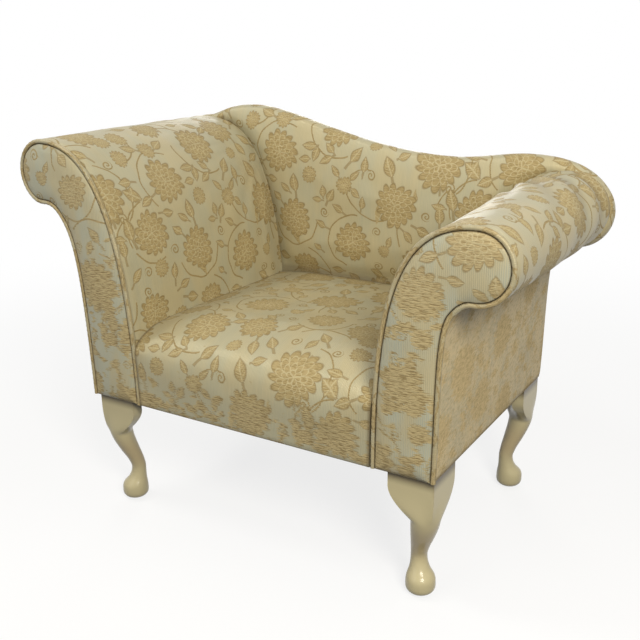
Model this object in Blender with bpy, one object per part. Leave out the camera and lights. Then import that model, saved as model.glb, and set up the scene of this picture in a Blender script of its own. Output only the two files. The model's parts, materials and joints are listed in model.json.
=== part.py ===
# Armchair with two scroll arms of unlike height, a serpentine back and cabriole legs.
# Sizes are in metres. X runs along the width with the low arm at +X, Y runs from the
# front to the back and Z up. The origin is on the floor under the middle of the chair.
import math

import bmesh
import bpy
from mathutils import Vector
from mathutils.geometry import delaunay_2d_cdt, interpolate_bezier

# Body
baseWidth = 0.811
bodyDepth = 0.582
baseHeight = 0.264
seatHeight = 0.430
lowFacingReach = 0.119
gap = 0.0003
overrun = 0.02
creaseAngle = math.radians(35)

# High arm
highRollOut = 0.0945
highRollHeight = 0.741
highRollRadius = 0.0657
highHookAngle = math.radians(-59)
highRimSwell = 0.004
highRimDrop = 0.0
highRimShift = 0.0
highRollSwell = -0.001
highFacingReach = 0.125
highFootSpread = 0.006

# Low arm
lowRollOut = 0.0625
lowRollHeight = 0.663
lowRollRadius = 0.0632
lowHookAngle = math.radians(-93)
lowRimSwell = 0.0145
lowRimDrop = 0.011
lowRimShift = 0.003
lowRollSwell = 0.005
lowFootSpread = 0.0
lowJoinAngle = math.radians(35)
joinShare = 0.83

# Line of an arm: where the neck lies, and how far each stretch of the curve is drawn out
neckInShare = 0.65
neckDropShare = 1.41
neckLean = math.radians(34)
waistBow = 0.006
outerSteps = 9
hookSteps = 5
rollStep = math.radians(18)
innerSteps = 14
fadeSteps = 5
highPullShares = {"waist": 0.59, "neck": 0.17, "hookIn": 0.88, "hookOut": 0.41, "flare": 0.73, "stem": 0.64}
lowPullShares = {"waist": 0.45, "neck": 0.13, "hookIn": 0.25, "hookOut": 0.25, "flare": 0.80, "stem": 0.66}

# Top of the back: height of its crests and of its dip over the tops of the two rolls
peakRise = 0.033
humpRise = 0.036
dipRise = 0.0195
peakPlaceShare = 0.152
dipPlaceShare = 0.61
humpPlaceShare = 0.81
risePullShares = (0.22, 0.60)
fallPullShares = (0.22, 0.44)
dipPullShares = (0.34, 0.34)
endPullShares = (0.62, 0.60)
topSteps = 7

# Covers and padding
pipingRadius = 0.005
facingDepth = 0.010
facingEdge = 0.003
facingEdgeShares = (0.0, 0.5, 1.0)
padProud = 0.0035
padInner = 0.020
linerDepth = 0.003
panelDepth = 0.0045
panelProud = 0.0025
innerSwell = 0.012
rimCover = 0.0049
rimDepth = 0.0117
rimRound = 0.017
rimRear = 0.011
rimRearShares = (1.0, 0.5, 0.0)
rimFrontShares = (0.0, 0.34, 0.67, 1.0)
backPadDepth = 0.0084
backCrown = 0.021
seatCrown = 0.020
seatRollDepth = 0.120
seatRollShare = 0.30
seatRollSteps = 6
seatFlatSteps = 7
seatColumns = 14
seatSinkShare = 0.6
borderDepth = 0.0183
crownFade = 0.055
netAcrossShare = 0.75
netUpShare = 0.62
dustCoverDepth = 0.0012
dustCoverInset = 0.012

# Frame
boardDepth = 0.018
railDepth = 0.025
railShare = 0.48
backFrameDepth = 0.0225
rearBoardDepth = 0.023
topRailHeight = 0.062
tackRailHeight = 0.035
tackRailDepth = 0.022
railSteps = 10
uprightWidth = 0.050
blockReach = 0.075
blockHeight = 0.045
webbingDepth = 0.0014
webbingWidth = 0.050
webbingPlaceShares = (-0.44, -0.19, 0.19, 0.44)

# Seat springs
springCount = 5
springWire = 0.0034
springSwing = 0.022
springPitch = 0.045
springRise = 0.0093
springWaveSteps = 6
springCoverDepth = 0.0015
springLanding = 0.012

# Legs
glideHeight = 0.004
glideRadius = 0.011
glideEdge = 0.0015
turnedSides = 14
legSides = 24
legCreaseAngle = math.radians(60)
kneeInset = 0.039
ankleInset = 0.072
footInset = 0.061
kneeRadius = 0.0255
kneeAcross = 0.030
ankleRadius = 0.0155
footRadius = 0.0275
earLength = 0.092
earDepth = 0.030
earSetBack = 0.003
legBackReach = 0.070
kneeRidge = 0.002
legFrontSetBack = 0.008
legRearSetBack = 0.010
legSideSetOut = 0.003
boltRadius = 0.004
boltInX = 0.045
boltInY = 0.0585
boltLength = 0.080

# Line of a leg as shares: height, way from one inset to the next, and girth
footShares = (
    (0.0, 0.0, 0.80),
    (0.03, 0.0, 0.96),
    (0.08, 0.0, 1.0),
    (0.13, 0.10, 0.93),
    (0.175, 0.55, 0.72),
    (0.22, 0.85, 0.60),
)
shankShares = (
    (0.28, 0.0, 0.0),
    (0.35, 0.13, 0.13),
    (0.46, 0.48, 0.46),
    (0.58, 0.82, 0.74),
    (0.68, 0.97, 0.90),
    (0.80, 1.0, 1.0),
)
ankleLevelShare = 0.28
earLevelShare = 0.64
earShares = (0.22, 0.44, 0.66, 0.86, 1.0)
earReturnShares = (0.25, 0.5, 0.75, 0.92, 1.0)
legLevelShares = (0.0, 0.015, 0.05, 0.09, 0.13, 0.175, 0.225, 0.29, 0.38)
legLevelShares += (0.48, 0.58, 0.66, 0.72, 0.79, 0.87, 0.94, 1.0)

# Places that follow from the sizes above
halfWidth = baseWidth / 2 - pipingRadius
highRollX = halfWidth + highRollOut
lowRollX = halfWidth + lowRollOut
seatRise = seatHeight - baseHeight
seatRollDrop = seatRise * seatRollShare
railFloor = baseHeight + dustCoverDepth + gap
outerInset = panelDepth + gap - panelProud
boardInset = padInner + linerDepth + 2 * gap
boardFront = facingDepth + gap
frontRailFront = boardFront + boardDepth + gap
panelRear = bodyDepth - panelDepth
backFrameRear = panelRear - gap
backFrameFront = backFrameRear - backFrameDepth
rearBoardFront = backFrameFront - gap - rearBoardDepth
webbingFront = backFrameFront - gap - webbingDepth
padRear = webbingFront - gap
padFront = padRear - backPadDepth
railTop = railFloor + seatRise * railShare
springHeight = railTop + gap + springWire / 2
coverFloor = springHeight + springRise + springWire / 2 + gap
deckHeight = coverFloor + springCoverDepth + gap
legHeight = baseHeight - gap

materials = {}


def material(name, color, roughness, metallic):
    if name not in materials:
        made = bpy.data.materials.new(name)
        made.use_nodes = True
        shader = made.node_tree.nodes["Principled BSDF"]
        shader.inputs["Base Color"].default_value = (*color, 1)
        shader.inputs["Roughness"].default_value = roughness
        shader.inputs["Metallic"].default_value = metallic
        made.diffuse_color = (*color, 1)
        materials[name] = made
    return materials[name]


def damask():
    return material("damask", (0.60, 0.56, 0.40), 0.55, 0.0)


def facingDamask():
    return material("facing_damask", (0.52, 0.51, 0.38), 0.55, 0.0)


def hardwood():
    return material("hardwood", (0.55, 0.38, 0.22), 0.6, 0.0)


def creamPaint():
    return material("cream_paint", (0.72, 0.68, 0.50), 0.25, 0.0)


def springSteel():
    return material("spring_steel", (0.35, 0.35, 0.36), 0.35, 1.0)


def zincSteel():
    return material("zinc_steel", (0.62, 0.62, 0.60), 0.4, 1.0)


def hessian():
    return material("hessian", (0.45, 0.34, 0.20), 0.95, 0.0)


def liningCloth():
    return material("lining_cloth", (0.05, 0.05, 0.05), 0.95, 0.0)


def clearScene():
    for old in list(bpy.data.objects):
        bpy.data.objects.remove(old, do_unlink=True)


def finish(name, shape, finishMaterial, angle=creaseAngle):
    """Turns a bmesh into a named object under the chair's empty."""
    bmesh.ops.recalc_face_normals(shape, faces=shape.faces)
    mesh = bpy.data.meshes.new(name)
    shape.to_mesh(mesh)
    shape.free()
    mesh.shade_smooth()
    mesh.set_sharp_from_angle(angle=angle)
    mesh.materials.append(finishMaterial)
    made = bpy.data.objects.new(name, mesh)
    bpy.context.scene.collection.objects.link(made)
    made.parent = chair
    return made


def loft(rings):
    """Closed body through rings of equally many points, with a face over each end."""
    shape = bmesh.new()
    rows = [[shape.verts.new(point) for point in ring] for ring in rings]
    for low, high in zip(rows, rows[1:]):
        for index in range(len(low)):
            following = (index + 1) % len(low)
            shape.faces.new((low[index], low[following], high[following], high[index]))
    shape.faces.new(rows[0])
    shape.faces.new(rows[-1])
    return shape


def prism(name, outline, front, rear, finishMaterial):
    """Body with an outline in X and Z that runs straight from front to rear."""
    rings = [[(x, y, z) for x, z in outline] for y in (front, rear)]
    return finish(name, loft(rings), finishMaterial)


def box(name, low, high, finishMaterial):
    outline = [(low[0], low[2]), (high[0], low[2]), (high[0], high[2]), (low[0], high[2])]
    return prism(name, outline, low[1], high[1], finishMaterial)


def cut(target, cutter):
    cutter.hide_render = True
    cutter.display_type = "WIRE"
    taking = target.modifiers.new("cut_" + cutter.name, "BOOLEAN")
    taking.operation = "DIFFERENCE"
    taking.solver = "EXACT"
    taking.object = cutter


def bezier(start, startPull, endPull, end, count):
    """Points along one Bezier stretch, without its first point."""
    handles = [Vector((*place, 0)) for place in (start, startPull, endPull, end)]
    points = interpolate_bezier(*handles, count + 1)
    return [(point.x, point.y) for point in points][1:]


def sideways(points, index):
    """Unit direction square to a line of points at one of them, on its right hand."""
    before = points[max(index - 1, 0)]
    after = points[min(index + 1, len(points) - 1)]
    way = Vector((after[0] - before[0], after[1] - before[1])).normalized()
    return way.y, -way.x


def smoothStep(share):
    share = min(max(share, 0), 1)
    return share * share * (3 - 2 * share)


def heightAt(points, place, key=0):
    """Reads the other coordinate of a line of points at one place, by straight runs."""
    other = 1 - key
    ordered = sorted(points, key=lambda point: point[key])
    if place <= ordered[0][key]:
        return ordered[0][other]
    for low, high in zip(ordered, ordered[1:]):
        if place <= high[key]:
            share = (place - low[key]) / max(high[key] - low[key], gap * gap)
            return low[other] + share * (high[other] - low[other])
    return ordered[-1][other]


class Arm:
    """The seam line of one arm's facing, from the outer foot over the roll to the inner foot."""

    def __init__(self, side, rollX, rollHeight, radius, hookAngle, footSpread, reach, pullShares):
        self.side = side
        self.rollX = rollX
        self.rollHeight = rollHeight
        self.radius = radius
        self.word = "right" if side > 0 else "left"
        foot = halfWidth + footSpread
        facingInner = halfWidth + footSpread - reach
        neck = (rollX - neckInShare * radius, rollHeight - neckDropShare * radius)
        lean = (math.sin(neckLean), math.cos(neckLean))
        rise = neck[1] - baseHeight
        hook = (rollX + radius * math.cos(hookAngle), rollHeight + radius * math.sin(hookAngle))
        hookWay = (-math.sin(hookAngle), math.cos(hookAngle))
        hookIn = pullShares["hookIn"] * radius
        hookOut = pullShares["hookOut"] * radius
        neckPull = pullShares["neck"] * rise
        top = (rollX, rollHeight + radius)
        flare = pullShares["flare"] * (rollX - facingInner)
        stem = pullShares["stem"] * (top[1] - baseHeight)

        outer = [(foot, baseHeight)]
        outer += bezier(
            (foot, baseHeight),
            (foot + waistBow, baseHeight + pullShares["waist"] * rise),
            (neck[0] - lean[0] * neckPull, neck[1] - lean[1] * neckPull),
            neck,
            outerSteps,
        )
        hooked = bezier(
            neck,
            (neck[0] + lean[0] * hookIn, neck[1] + lean[1] * hookIn),
            (hook[0] - hookWay[0] * hookOut, hook[1] - hookWay[1] * hookOut),
            hook,
            hookSteps,
        )
        lowSteps = max(2, round(-hookAngle / rollStep))
        highSteps = round(math.pi / 2 / rollStep)
        angles = [hookAngle * (1 - step / lowSteps) for step in range(1, lowSteps + 1)]
        angles += [math.pi / 2 * step / highSteps for step in range(1, highSteps + 1)]
        rolled = [(rollX + radius * math.cos(a), rollHeight + radius * math.sin(a)) for a in angles]
        inner = bezier(
            top,
            (top[0] - flare, top[1]),
            (facingInner, baseHeight + stem),
            (facingInner, baseHeight),
            innerSteps,
        )
        self.points = outer + hooked + rolled + inner
        self.neckIndex = len(outer) - 1
        self.rollIndex = len(outer) + len(hooked) - 1
        self.topIndex = len(outer) + len(hooked) + len(rolled) - 1

    def joinIndex(self, joinAngle):
        """Last point of the roll that lies well below one angle, where the back's top leaves it."""
        index = self.topIndex
        while index > self.rollIndex:
            x, z = self.points[index]
            if math.atan2(z - self.rollHeight, x - self.rollX) < joinAngle * joinShare:
                break
            index -= 1
        return index

    def offset(self, outerDistance, rollDistance, innerDistance=None):
        """The seam line moved outwards: below the neck, round the roll and down the inner side."""
        if innerDistance is None:
            innerDistance = rollDistance
        points = self.points
        moved = []
        for index, point in enumerate(points):
            out = sideways(points, index)
            if index in (0, len(points) - 1):
                out = (1 if index == 0 else -1, 0)
            hookShare = (index - self.neckIndex) / (self.rollIndex - self.neckIndex)
            distance = outerDistance + (rollDistance - outerDistance) * smoothStep(hookShare)
            innerShare = (index - self.topIndex) / fadeSteps
            distance += (innerDistance - rollDistance) * smoothStep(innerShare)
            moved.append((point[0] + out[0] * distance, point[1] + out[1] * distance))
        return moved

    def swell(self, rollSwell, rimSwell, rimDrop, rimShift):
        """Sets how much the roll grows towards the back, and the rim of the back round it."""
        self.rollSwell = rollSwell
        self.rimSwell = rimSwell
        self.rimDrop = rimDrop
        self.rimShift = rimShift

    def rim(self, outerDistance, rollDistance):
        """The seam line moved outwards to the rim of the back, which hangs a little lower."""
        moved = []
        for index, (x, z) in enumerate(self.offset(outerDistance, self.rimSwell + rollDistance)):
            hookShare = (index - self.neckIndex) / (self.rollIndex - self.neckIndex)
            blend = smoothStep(hookShare)
            moved.append((x - self.rimShift * blend, z - self.rimDrop * blend))
        return moved

    def world(self, points):
        return [(self.side * x, z) for x, z in points]

    def innerLine(self, distance):
        """Places (x, z) along the inner side only, from the top of the roll to the foot."""
        return self.world(self.offset(distance, distance)[self.topIndex :])


def withFloor(outline, floor):
    """Lowers or lifts the two feet of an arm outline to one height."""
    return [(outline[0][0], floor)] + outline[1:-1] + [(outline[-1][0], floor)]


def pipe(name, points, radius, finishMaterial, resolution):
    """Tube along points, with closed ends."""
    line = bpy.data.curves.new(name, "CURVE")
    line.dimensions = "3D"
    line.bevel_depth = radius
    line.bevel_resolution = resolution
    line.use_fill_caps = True
    spline = line.splines.new("POLY")
    spline.points.add(len(points) - 1)
    for spot, point in zip(spline.points, points):
        spot.co = (*point, 1)
    spline.use_smooth = True
    line.materials.append(finishMaterial)
    made = bpy.data.objects.new(name, line)
    bpy.context.scene.collection.objects.link(made)
    made.parent = chair
    return made


def buildFacing(arm):
    """Flat padded panel on the front of the arm, its edge drawn in under the piping."""
    edge = -(pipingRadius + gap)
    levels = [(facingDepth, edge)]
    for share in facingEdgeShares:
        turn = math.pi / 2 * share
        levels.append((facingEdge * (1 - math.sin(turn)), edge - facingEdge * (1 - math.cos(turn))))
    rings = [[(x, y, z) for x, z in arm.world(arm.offset(d, d))] for y, d in levels]
    finish("front_facing_" + arm.word, loft(rings), facingDamask())


def buildPiping(arm):
    points = [(x, pipingRadius, z) for x, z in arm.world(arm.points)]
    pipe("facing_piping_" + arm.word, points, pipingRadius, facingDamask(), 2)


def armBand(arm, outside, inside):
    """Closed outline between two offsets of the seam line, from the hook to the seat deck."""
    sides = []
    for line in (outside, inside):
        kept = [point for index, point in enumerate(line) if index >= arm.rollIndex]
        kept = [point for point in kept if point[1] > deckHeight + gap]
        kept.append((heightAt(line[arm.topIndex :], deckHeight, 1), deckHeight))
        sides.append(kept)
    count = min(len(side) for side in sides)
    sides = [side[: count - 1] + side[-1:] for side in sides]
    return arm.world(sides[0] + sides[1][::-1])


def buildArm(arm):
    """Padding, liner, boards, rails and outside panel of one arm."""
    side = arm.side
    frontSkin = arm.offset(padProud, padProud)
    rearSkin = arm.offset(padProud, padProud + arm.rollSwell, padProud + innerSwell)
    padding = [
        [(x, y, z) for x, z in armBand(arm, skin, arm.offset(-padInner, -padInner))]
        for y, skin in ((boardFront, frontSkin), (padFront - gap, rearSkin))
    ]
    finish("arm_padding_" + arm.word, loft(padding), damask())
    under = -padInner - gap
    linerInner = under - linerDepth
    liner = armBand(arm, arm.offset(under, under), arm.offset(linerInner, linerInner))
    prism("arm_liner_" + arm.word, liner, boardFront, padFront - gap, hessian())

    board = withFloor(arm.world(arm.offset(-outerInset, -boardInset)), railFloor)
    prism("front_scroll_board_" + arm.word, board, boardFront, boardFront + boardDepth, hardwood())
    prism("rear_scroll_board_" + arm.word, board, rearBoardFront, backFrameFront - gap, hardwood())
    slack = withFloor(arm.world(arm.offset(gap - outerInset, gap - boardInset)), railFloor - overrun)
    pocket = prism("arm_pocket_" + arm.word, slack, padFront - overrun, bodyDepth, hardwood())

    # A half-round rail fills the upper half of the roll between the two boards
    core = arm.radius - boardInset
    turns = [math.pi * step / railSteps for step in range(railSteps + 1)]
    halfRound = [(arm.rollX + core * math.cos(a), arm.rollHeight + core * math.sin(a)) for a in turns]
    railRear = rearBoardFront - gap
    prism("arm_top_rail_" + arm.word, arm.world(halfRound), frontRailFront, railRear, hardwood())

    # The lower rail stands against the liner just over the seat deck
    lean = heightAt(arm.innerLine(-boardInset), deckHeight, 1)
    leanTop = heightAt(arm.innerLine(-boardInset), deckHeight + tackRailHeight, 1)
    outline = [
        (lean, deckHeight),
        (lean + side * tackRailDepth, deckHeight),
        (leanTop + side * tackRailDepth, deckHeight + tackRailHeight),
        (leanTop, deckHeight + tackRailHeight),
    ]
    prism("arm_tack_rail_" + arm.word, outline, frontRailFront, railRear, hardwood())

    # The outside panel hangs from under the roll to the bottom edge
    inset = panelProud - panelDepth
    outside = shortened(arm.offset(panelProud, panelProud)[: arm.rollIndex + 1], 2 * gap)
    inside = shortened(arm.offset(inset, inset)[: arm.rollIndex + 1], 2 * gap)
    panelLine = arm.world(outside + inside[::-1])
    panel = prism("outside_arm_" + arm.word, panelLine, boardFront, backFrameRear, damask())
    return pocket, panel


def shortened(points, distance):
    """A line of points whose last one stands back by a distance."""
    last = Vector(points[-1])
    back = (Vector(points[-2]) - last).normalized() * distance
    return points[:-1] + [tuple(last + back)]


def topLine():
    """The serpentine top of the back, from the high roll's top to the low roll's join."""
    start = (-highRollX, highRollHeight + highRollRadius + highRimSwell)
    lowRim = lowRollRadius + lowRimSwell
    lowMiddle = (lowRollX - lowRimShift, lowRollHeight - lowRimDrop)
    end = (lowMiddle[0] + lowRim * math.cos(lowJoinAngle), lowMiddle[1] + lowRim * math.sin(lowJoinAngle))
    endWay = (math.sin(lowJoinAngle), -math.cos(lowJoinAngle))
    peak = (start[0] + peakPlaceShare * (highRollX + lowRollX), highRollHeight + highRollRadius + peakRise)
    rest = end[0] - peak[0]
    dip = (peak[0] + rest * dipPlaceShare, lowRollHeight + lowRollRadius + dipRise)
    hump = (peak[0] + rest * humpPlaceShare, lowRollHeight + lowRollRadius + humpRise)
    stations = [start, peak, dip, hump]
    pullShares = [risePullShares, fallPullShares, dipPullShares]
    points = [start]
    for near, far, shares in zip(stations, stations[1:], pullShares):
        run = far[0] - near[0]
        leaving = (near[0] + shares[0] * run, near[1])
        arriving = (far[0] - shares[1] * run, far[1])
        points += bezier(near, leaving, arriving, far, topSteps)
    endPull = endPullShares[1] * (hump[1] - end[1])
    leaving = (hump[0] + endPullShares[0] * (end[0] - hump[0]), hump[1])
    arriving = (end[0] - endWay[0] * endPull, end[1] - endWay[1] * endPull)
    points += bezier(hump, leaving, arriving, end, topSteps)
    return points


def backOutline(high, low, outerDistance, rollDistance, topDistance):
    """Outline of the back at one inset, anticlockwise as seen from the front, from the low arm's foot."""
    lowSide = low.world(low.rim(outerDistance, rollDistance)[: low.joinIndex(lowJoinAngle) + 1])
    top = topLine()[::-1]
    moved = []
    for index, point in enumerate(top[:-1]):
        out = sideways(top, index)
        share = smoothStep(index / fadeSteps) * smoothStep((len(top) - 1 - index) / fadeSteps)
        distance = rollDistance + (topDistance - rollDistance) * share
        moved.append((point[0] + out[0] * distance, point[1] + out[1] * distance))
    highSide = high.world(high.rim(outerDistance, rollDistance)[: high.topIndex + 1])
    return lowSide + moved + highSide[::-1]


def crownShape(high, low):
    """Function of x and z that is 0 at the arms, the seat and the top of the back, and 1 between."""
    highLine = high.innerLine(padProud + innerSwell)
    lowLine = low.innerLine(padProud + innerSwell)
    top = topLine()

    def crown(x, z):
        left = heightAt(highLine, z, 1)
        right = heightAt(lowLine, z, 1)
        across = (x - left) / (right - left)
        crest = heightAt(top, x)
        up = (z - seatHeight - seatCrown) / (crest - rimRound - seatHeight - seatCrown)
        if not 0 < across < 1 or not 0 < up < 1:
            return 0
        sides = min(across, 1 - across) * (right - left) / crownFade
        ends = min(up, 1 - up) * (crest - seatHeight) / crownFade
        return math.sin(min(sides, 1) * math.pi / 2) * math.sin(min(ends, 1) * math.pi / 2)

    return crown


def buildBackPadding(high, low, pockets, panels):
    """Padded back with a crown between the arms and a round edge over its frame."""
    rings = []
    ends = ((rimRearShares, rimRear, backFrameRear, -1), (rimFrontShares, rimRound, padFront, 1))
    for shares, depth, end, way in ends:
        for share in shares:
            turn = math.pi / 2 * share
            inset = depth * (1 - math.cos(turn))
            y = end + way * depth * (1 - math.sin(turn))
            points = backOutline(high, low, -outerInset, -inset, -inset)
            rings.append([(x, y, z) for x, z in points])
    floor = deckHeight + gap
    rings = [[(x, y, max(z, floor)) for x, y, z in ring] for ring in rings]
    rings = [trimFloor(ring, floor) for ring in rings]

    shape = bmesh.new()
    rows = [[shape.verts.new(point) for point in ring] for ring in rings]
    count = len(rings[0])
    for near, far in zip(rows, rows[1:]):
        for index in range(count):
            following = (index + 1) % count
            shape.faces.new((near[index], near[following], far[following], far[index]))
    shape.faces.new(rows[0])
    creases = [arm.innerLine(padProud + innerSwell - gap) for arm in (high, low)]
    seatLine = seatHeight + seatCrown
    left = heightAt(creases[0], seatLine, 1) + rimRound / 2
    right = heightAt(creases[1], seatLine, 1) - rimRound / 2
    spans = round((right - left) / crownFade)
    creases.append([(left + (right - left) * step / spans, seatLine) for step in range(spans + 1)])
    fillCrowned(shape, rows[-1], crownShape(high, low), creases)
    padding = finish("back_padding", shape, damask())
    inner = backOutline(high, low, -outerInset - rimCover, gap - rimDepth, gap - rimDepth)
    pocket = prism("back_pocket", withFloor(inner, baseHeight), padRear, bodyDepth, hardwood())
    for cutter in [pocket] + pockets:
        cut(padding, cutter)
    slack = backOutline(high, low, gap / 3 - outerInset, gap, gap)
    slack = withFloor(slack, baseHeight - overrun)
    keepClear = prism("back_slack", slack, padFront - gap, bodyDepth, damask())
    for panel in panels:
        cut(panel, keepClear)


def trimFloor(ring, floor):
    """Keeps the first and last of the points that were lifted to the floor, so that none repeat."""
    lifted = [index for index, point in enumerate(ring) if point[2] <= floor]
    half = len(ring) / 2
    early = [index for index in lifted if index < half]
    late = [index for index in lifted if index >= half]
    dropped = set(early[:-1] + late[1:])
    return [point for index, point in enumerate(ring) if index not in dropped]


def fillCrowned(shape, border, crown, creases):
    """Fills a ring of points with a triangle net that rises to the crown between two flat creases."""
    flat = [Vector((vert.co.x, vert.co.z)) for vert in border]
    lowX = min(point.x for point in flat)
    highX = max(point.x for point in flat)
    lowZ = min(point.y for point in flat)
    highZ = max(point.y for point in flat)
    stepX = crownFade * netAcrossShare
    stepZ = crownFade * netUpShare
    extra = []
    folds = []
    for crease in creases:
        line = [Vector(point) for point in crease]
        line = [spot for spot in line if inside(spot, flat) and nearest(spot, flat) > rimRound / 2]
        first = len(flat) + len(extra)
        folds += [(first + index, first + index + 1) for index in range(len(line) - 1)]
        extra += line
    foldSpots = list(extra)
    for column in range(1, round((highX - lowX) / stepX)):
        for row in range(1, round((highZ - lowZ) / stepZ)):
            spot = Vector((lowX + column * stepX, lowZ + row * stepZ + (column % 2) * stepZ / 2))
            clear = min(nearest(spot, flat), nearest(spot, foldSpots)) > stepZ / 2
            if clear and crown(spot.x, spot.y) > 0:
                extra.append(spot)
    faces = [list(range(len(flat)))]
    spots, _, triangles, origins, _, _ = delaunay_2d_cdt(flat + extra, folds, faces, 1, gap * gap)
    placed = []
    for spot, source in zip(spots, origins):
        known = [index for index in source if index < len(flat)]
        if known:
            placed.append(border[known[0]])
        else:
            y = border[0].co.y - backCrown * crown(spot.x, spot.y)
            placed.append(shape.verts.new((spot.x, y, spot.y)))
    for corners in triangles:
        shape.faces.new([placed[index] for index in corners])


def inside(spot, ring):
    """Tells whether a flat spot lies inside a ring of flat points."""
    found = False
    for low, high in zip(ring, ring[1:] + ring[:1]):
        if (low.y > spot.y) != (high.y > spot.y):
            if spot.x < (high.x - low.x) * (spot.y - low.y) / (high.y - low.y) + low.x:
                found = not found
    return found


def nearest(spot, ring):
    return min((spot - point).length for point in ring)


def buildBackFrame(high, low):
    """Two scroll-headed posts, the shaped top rail, the lower rails, an upright and the webbing."""
    front = backFrameFront
    rear = backFrameRear
    posts = []
    for arm in (high, low):
        line = arm.rim(-outerInset - rimCover - gap, -rimDepth)
        innerLine = arm.offset(-boardInset, -boardInset)
        stop = arm.topIndex if arm is high else arm.joinIndex(lowJoinAngle) + 1
        outline = line[:stop] + innerLine[arm.topIndex + 1 :]
        outline = withFloor(arm.world(outline), railFloor)
        posts.append(prism("back_post_" + arm.word, outline, front, rear, hardwood()))
        slack = arm.rim(gap - outerInset - rimCover, gap - rimDepth)[:stop]
        slack += arm.offset(gap - boardInset, gap - boardInset)[arm.topIndex + 1 :]
        slack = withFloor(arm.world(slack), railFloor - overrun)
        posts.append(prism("post_pocket_" + arm.word, slack, front - overrun, rear + overrun, hardwood()))

    top = [point for point in topLine() if -highRollX + highRollRadius < point[0] < lowRollX]
    lower = []
    upper = []
    for index, point in enumerate(top):
        out = sideways(top, index)
        for row, distance in ((upper, rimDepth), (lower, rimDepth + topRailHeight)):
            row.append((point[0] + out[0] * distance, point[1] + out[1] * distance))
    rail = prism("back_top_rail", upper + lower[::-1], front, rear, hardwood())
    cut(rail, posts[1])
    cut(rail, posts[3])

    leftInner = heightAt(high.innerLine(-boardInset), deckHeight, 1)
    rightInner = heightAt(low.innerLine(-boardInset), deckHeight, 1)
    near = (leftInner - overrun, front, railFloor)
    rearRail = box("rear_seat_rail", near, (rightInner + overrun, rear, railTop), hardwood())
    webLow = seatHeight + tackRailHeight
    near = (leftInner - overrun, front, seatHeight)
    tackRail = box("back_tack_rail", near, (rightInner + overrun, rear, webLow), hardwood())
    for rails in (rearRail, tackRail):
        cut(rails, posts[1])
        cut(rails, posts[3])
    edge = uprightWidth / 2
    uprightTop = min(heightAt(lower, -edge), heightAt(lower, edge)) - gap
    box("back_upright", (-edge, front, webLow + gap), (edge, rear, uprightTop), hardwood())
    for index, share in enumerate(webbingPlaceShares):
        x = share * halfWidth
        edges = [x - webbingWidth / 2, x + webbingWidth / 2]
        webTop = min(heightAt(upper, edge) for edge in edges) - webbingDepth
        near = (edges[0], webbingFront, seatHeight + webbingDepth)
        far = (edges[1], webbingFront + webbingDepth, webTop)
        box("back_webbing_" + str(index + 1), near, far, hessian())


def buildOutsideBack(high, low):
    outline = backOutline(high, low, -outerInset, -rimRear, -rimRear)
    prism("outside_back", withFloor(outline, baseHeight), panelRear, bodyDepth, damask())


def buildSeatPadding(high, low):
    """Tight seat: one bent pad that covers the deck, rolls over the front and hangs to the bottom edge."""
    side = pipingRadius + 2 * gap
    rear = padFront - 2 * gap
    frontLines = [arm.innerLine(side) for arm in (high, low)]
    rearLines = [arm.innerLine(side + innerSwell) for arm in (high, low)]
    roll = seatHeight - seatRollDrop
    outer = [(0, baseHeight), (0, (baseHeight + roll) / 2), (0, roll)]
    for step in range(1, seatRollSteps + 1):
        turn = math.pi / 2 * step / seatRollSteps
        outer.append((seatRollDepth * (1 - math.cos(turn)), roll + seatRollDrop * math.sin(turn)))
    flat = rear - seatRollDepth
    for step in range(1, seatFlatSteps + 1):
        outer.append((seatRollDepth + flat * step / seatFlatSteps, seatHeight))
    back = boardFront + borderDepth
    inner = [(back, baseHeight), (back, (baseHeight + deckHeight) / 2), (back, deckHeight)]
    rest = len(outer) - len(inner)
    inner += [(back + (rear - back) * step / rest, deckHeight) for step in range(1, rest + 1)]
    columns = seatColumns

    def places(profile, crowned):
        rows = []
        for y, z in profile:
            back = min(max((y - boardFront) / (rear - boardFront), 0), 1)
            ends = []
            for near, far in zip(frontLines, rearLines):
                ends.append(heightAt(near, z, 1) + back * (heightAt(far, z, 1) - heightAt(near, z, 1)))
            left, right = ends
            row = []
            for column in range(columns + 1):
                even = column / columns
                share = (even + (1 - math.cos(math.pi * even)) / 2) / 2
                x = left + (right - left) * share
                lift = 0
                if crowned:
                    sinking = 1 - seatSinkShare * smoothStep((y - seatRollDepth) / flat)
                    edges = min(share, 1 - share) * (right - left) / (2 * crownFade)
                    rising = smoothStep(y / seatRollDepth) * math.sin(min(edges, 1) * math.pi / 2)
                    lift = seatCrown * rising * sinking
                row.append((x, y, z + lift))
            rows.append(row)
        return rows

    shape = bmesh.new()
    top = [[shape.verts.new(point) for point in row] for row in places(outer, True)]
    under = [[shape.verts.new(point) for point in row] for row in places(inner, False)]
    for net in (top, under):
        for near, far in zip(net, net[1:]):
            for index in range(columns):
                shape.faces.new((near[index], near[index + 1], far[index + 1], far[index]))
    sides = [(top[row], under[row]) for row in (0, len(outer) - 1)]
    for index in (0, columns):
        sides.append(([row[index] for row in top], [row[index] for row in under]))
    for upper, lower in sides:
        for index in range(len(upper) - 1):
            shape.faces.new((upper[index], upper[index + 1], lower[index + 1], lower[index]))
    finish("seat_padding", shape, damask())


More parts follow.
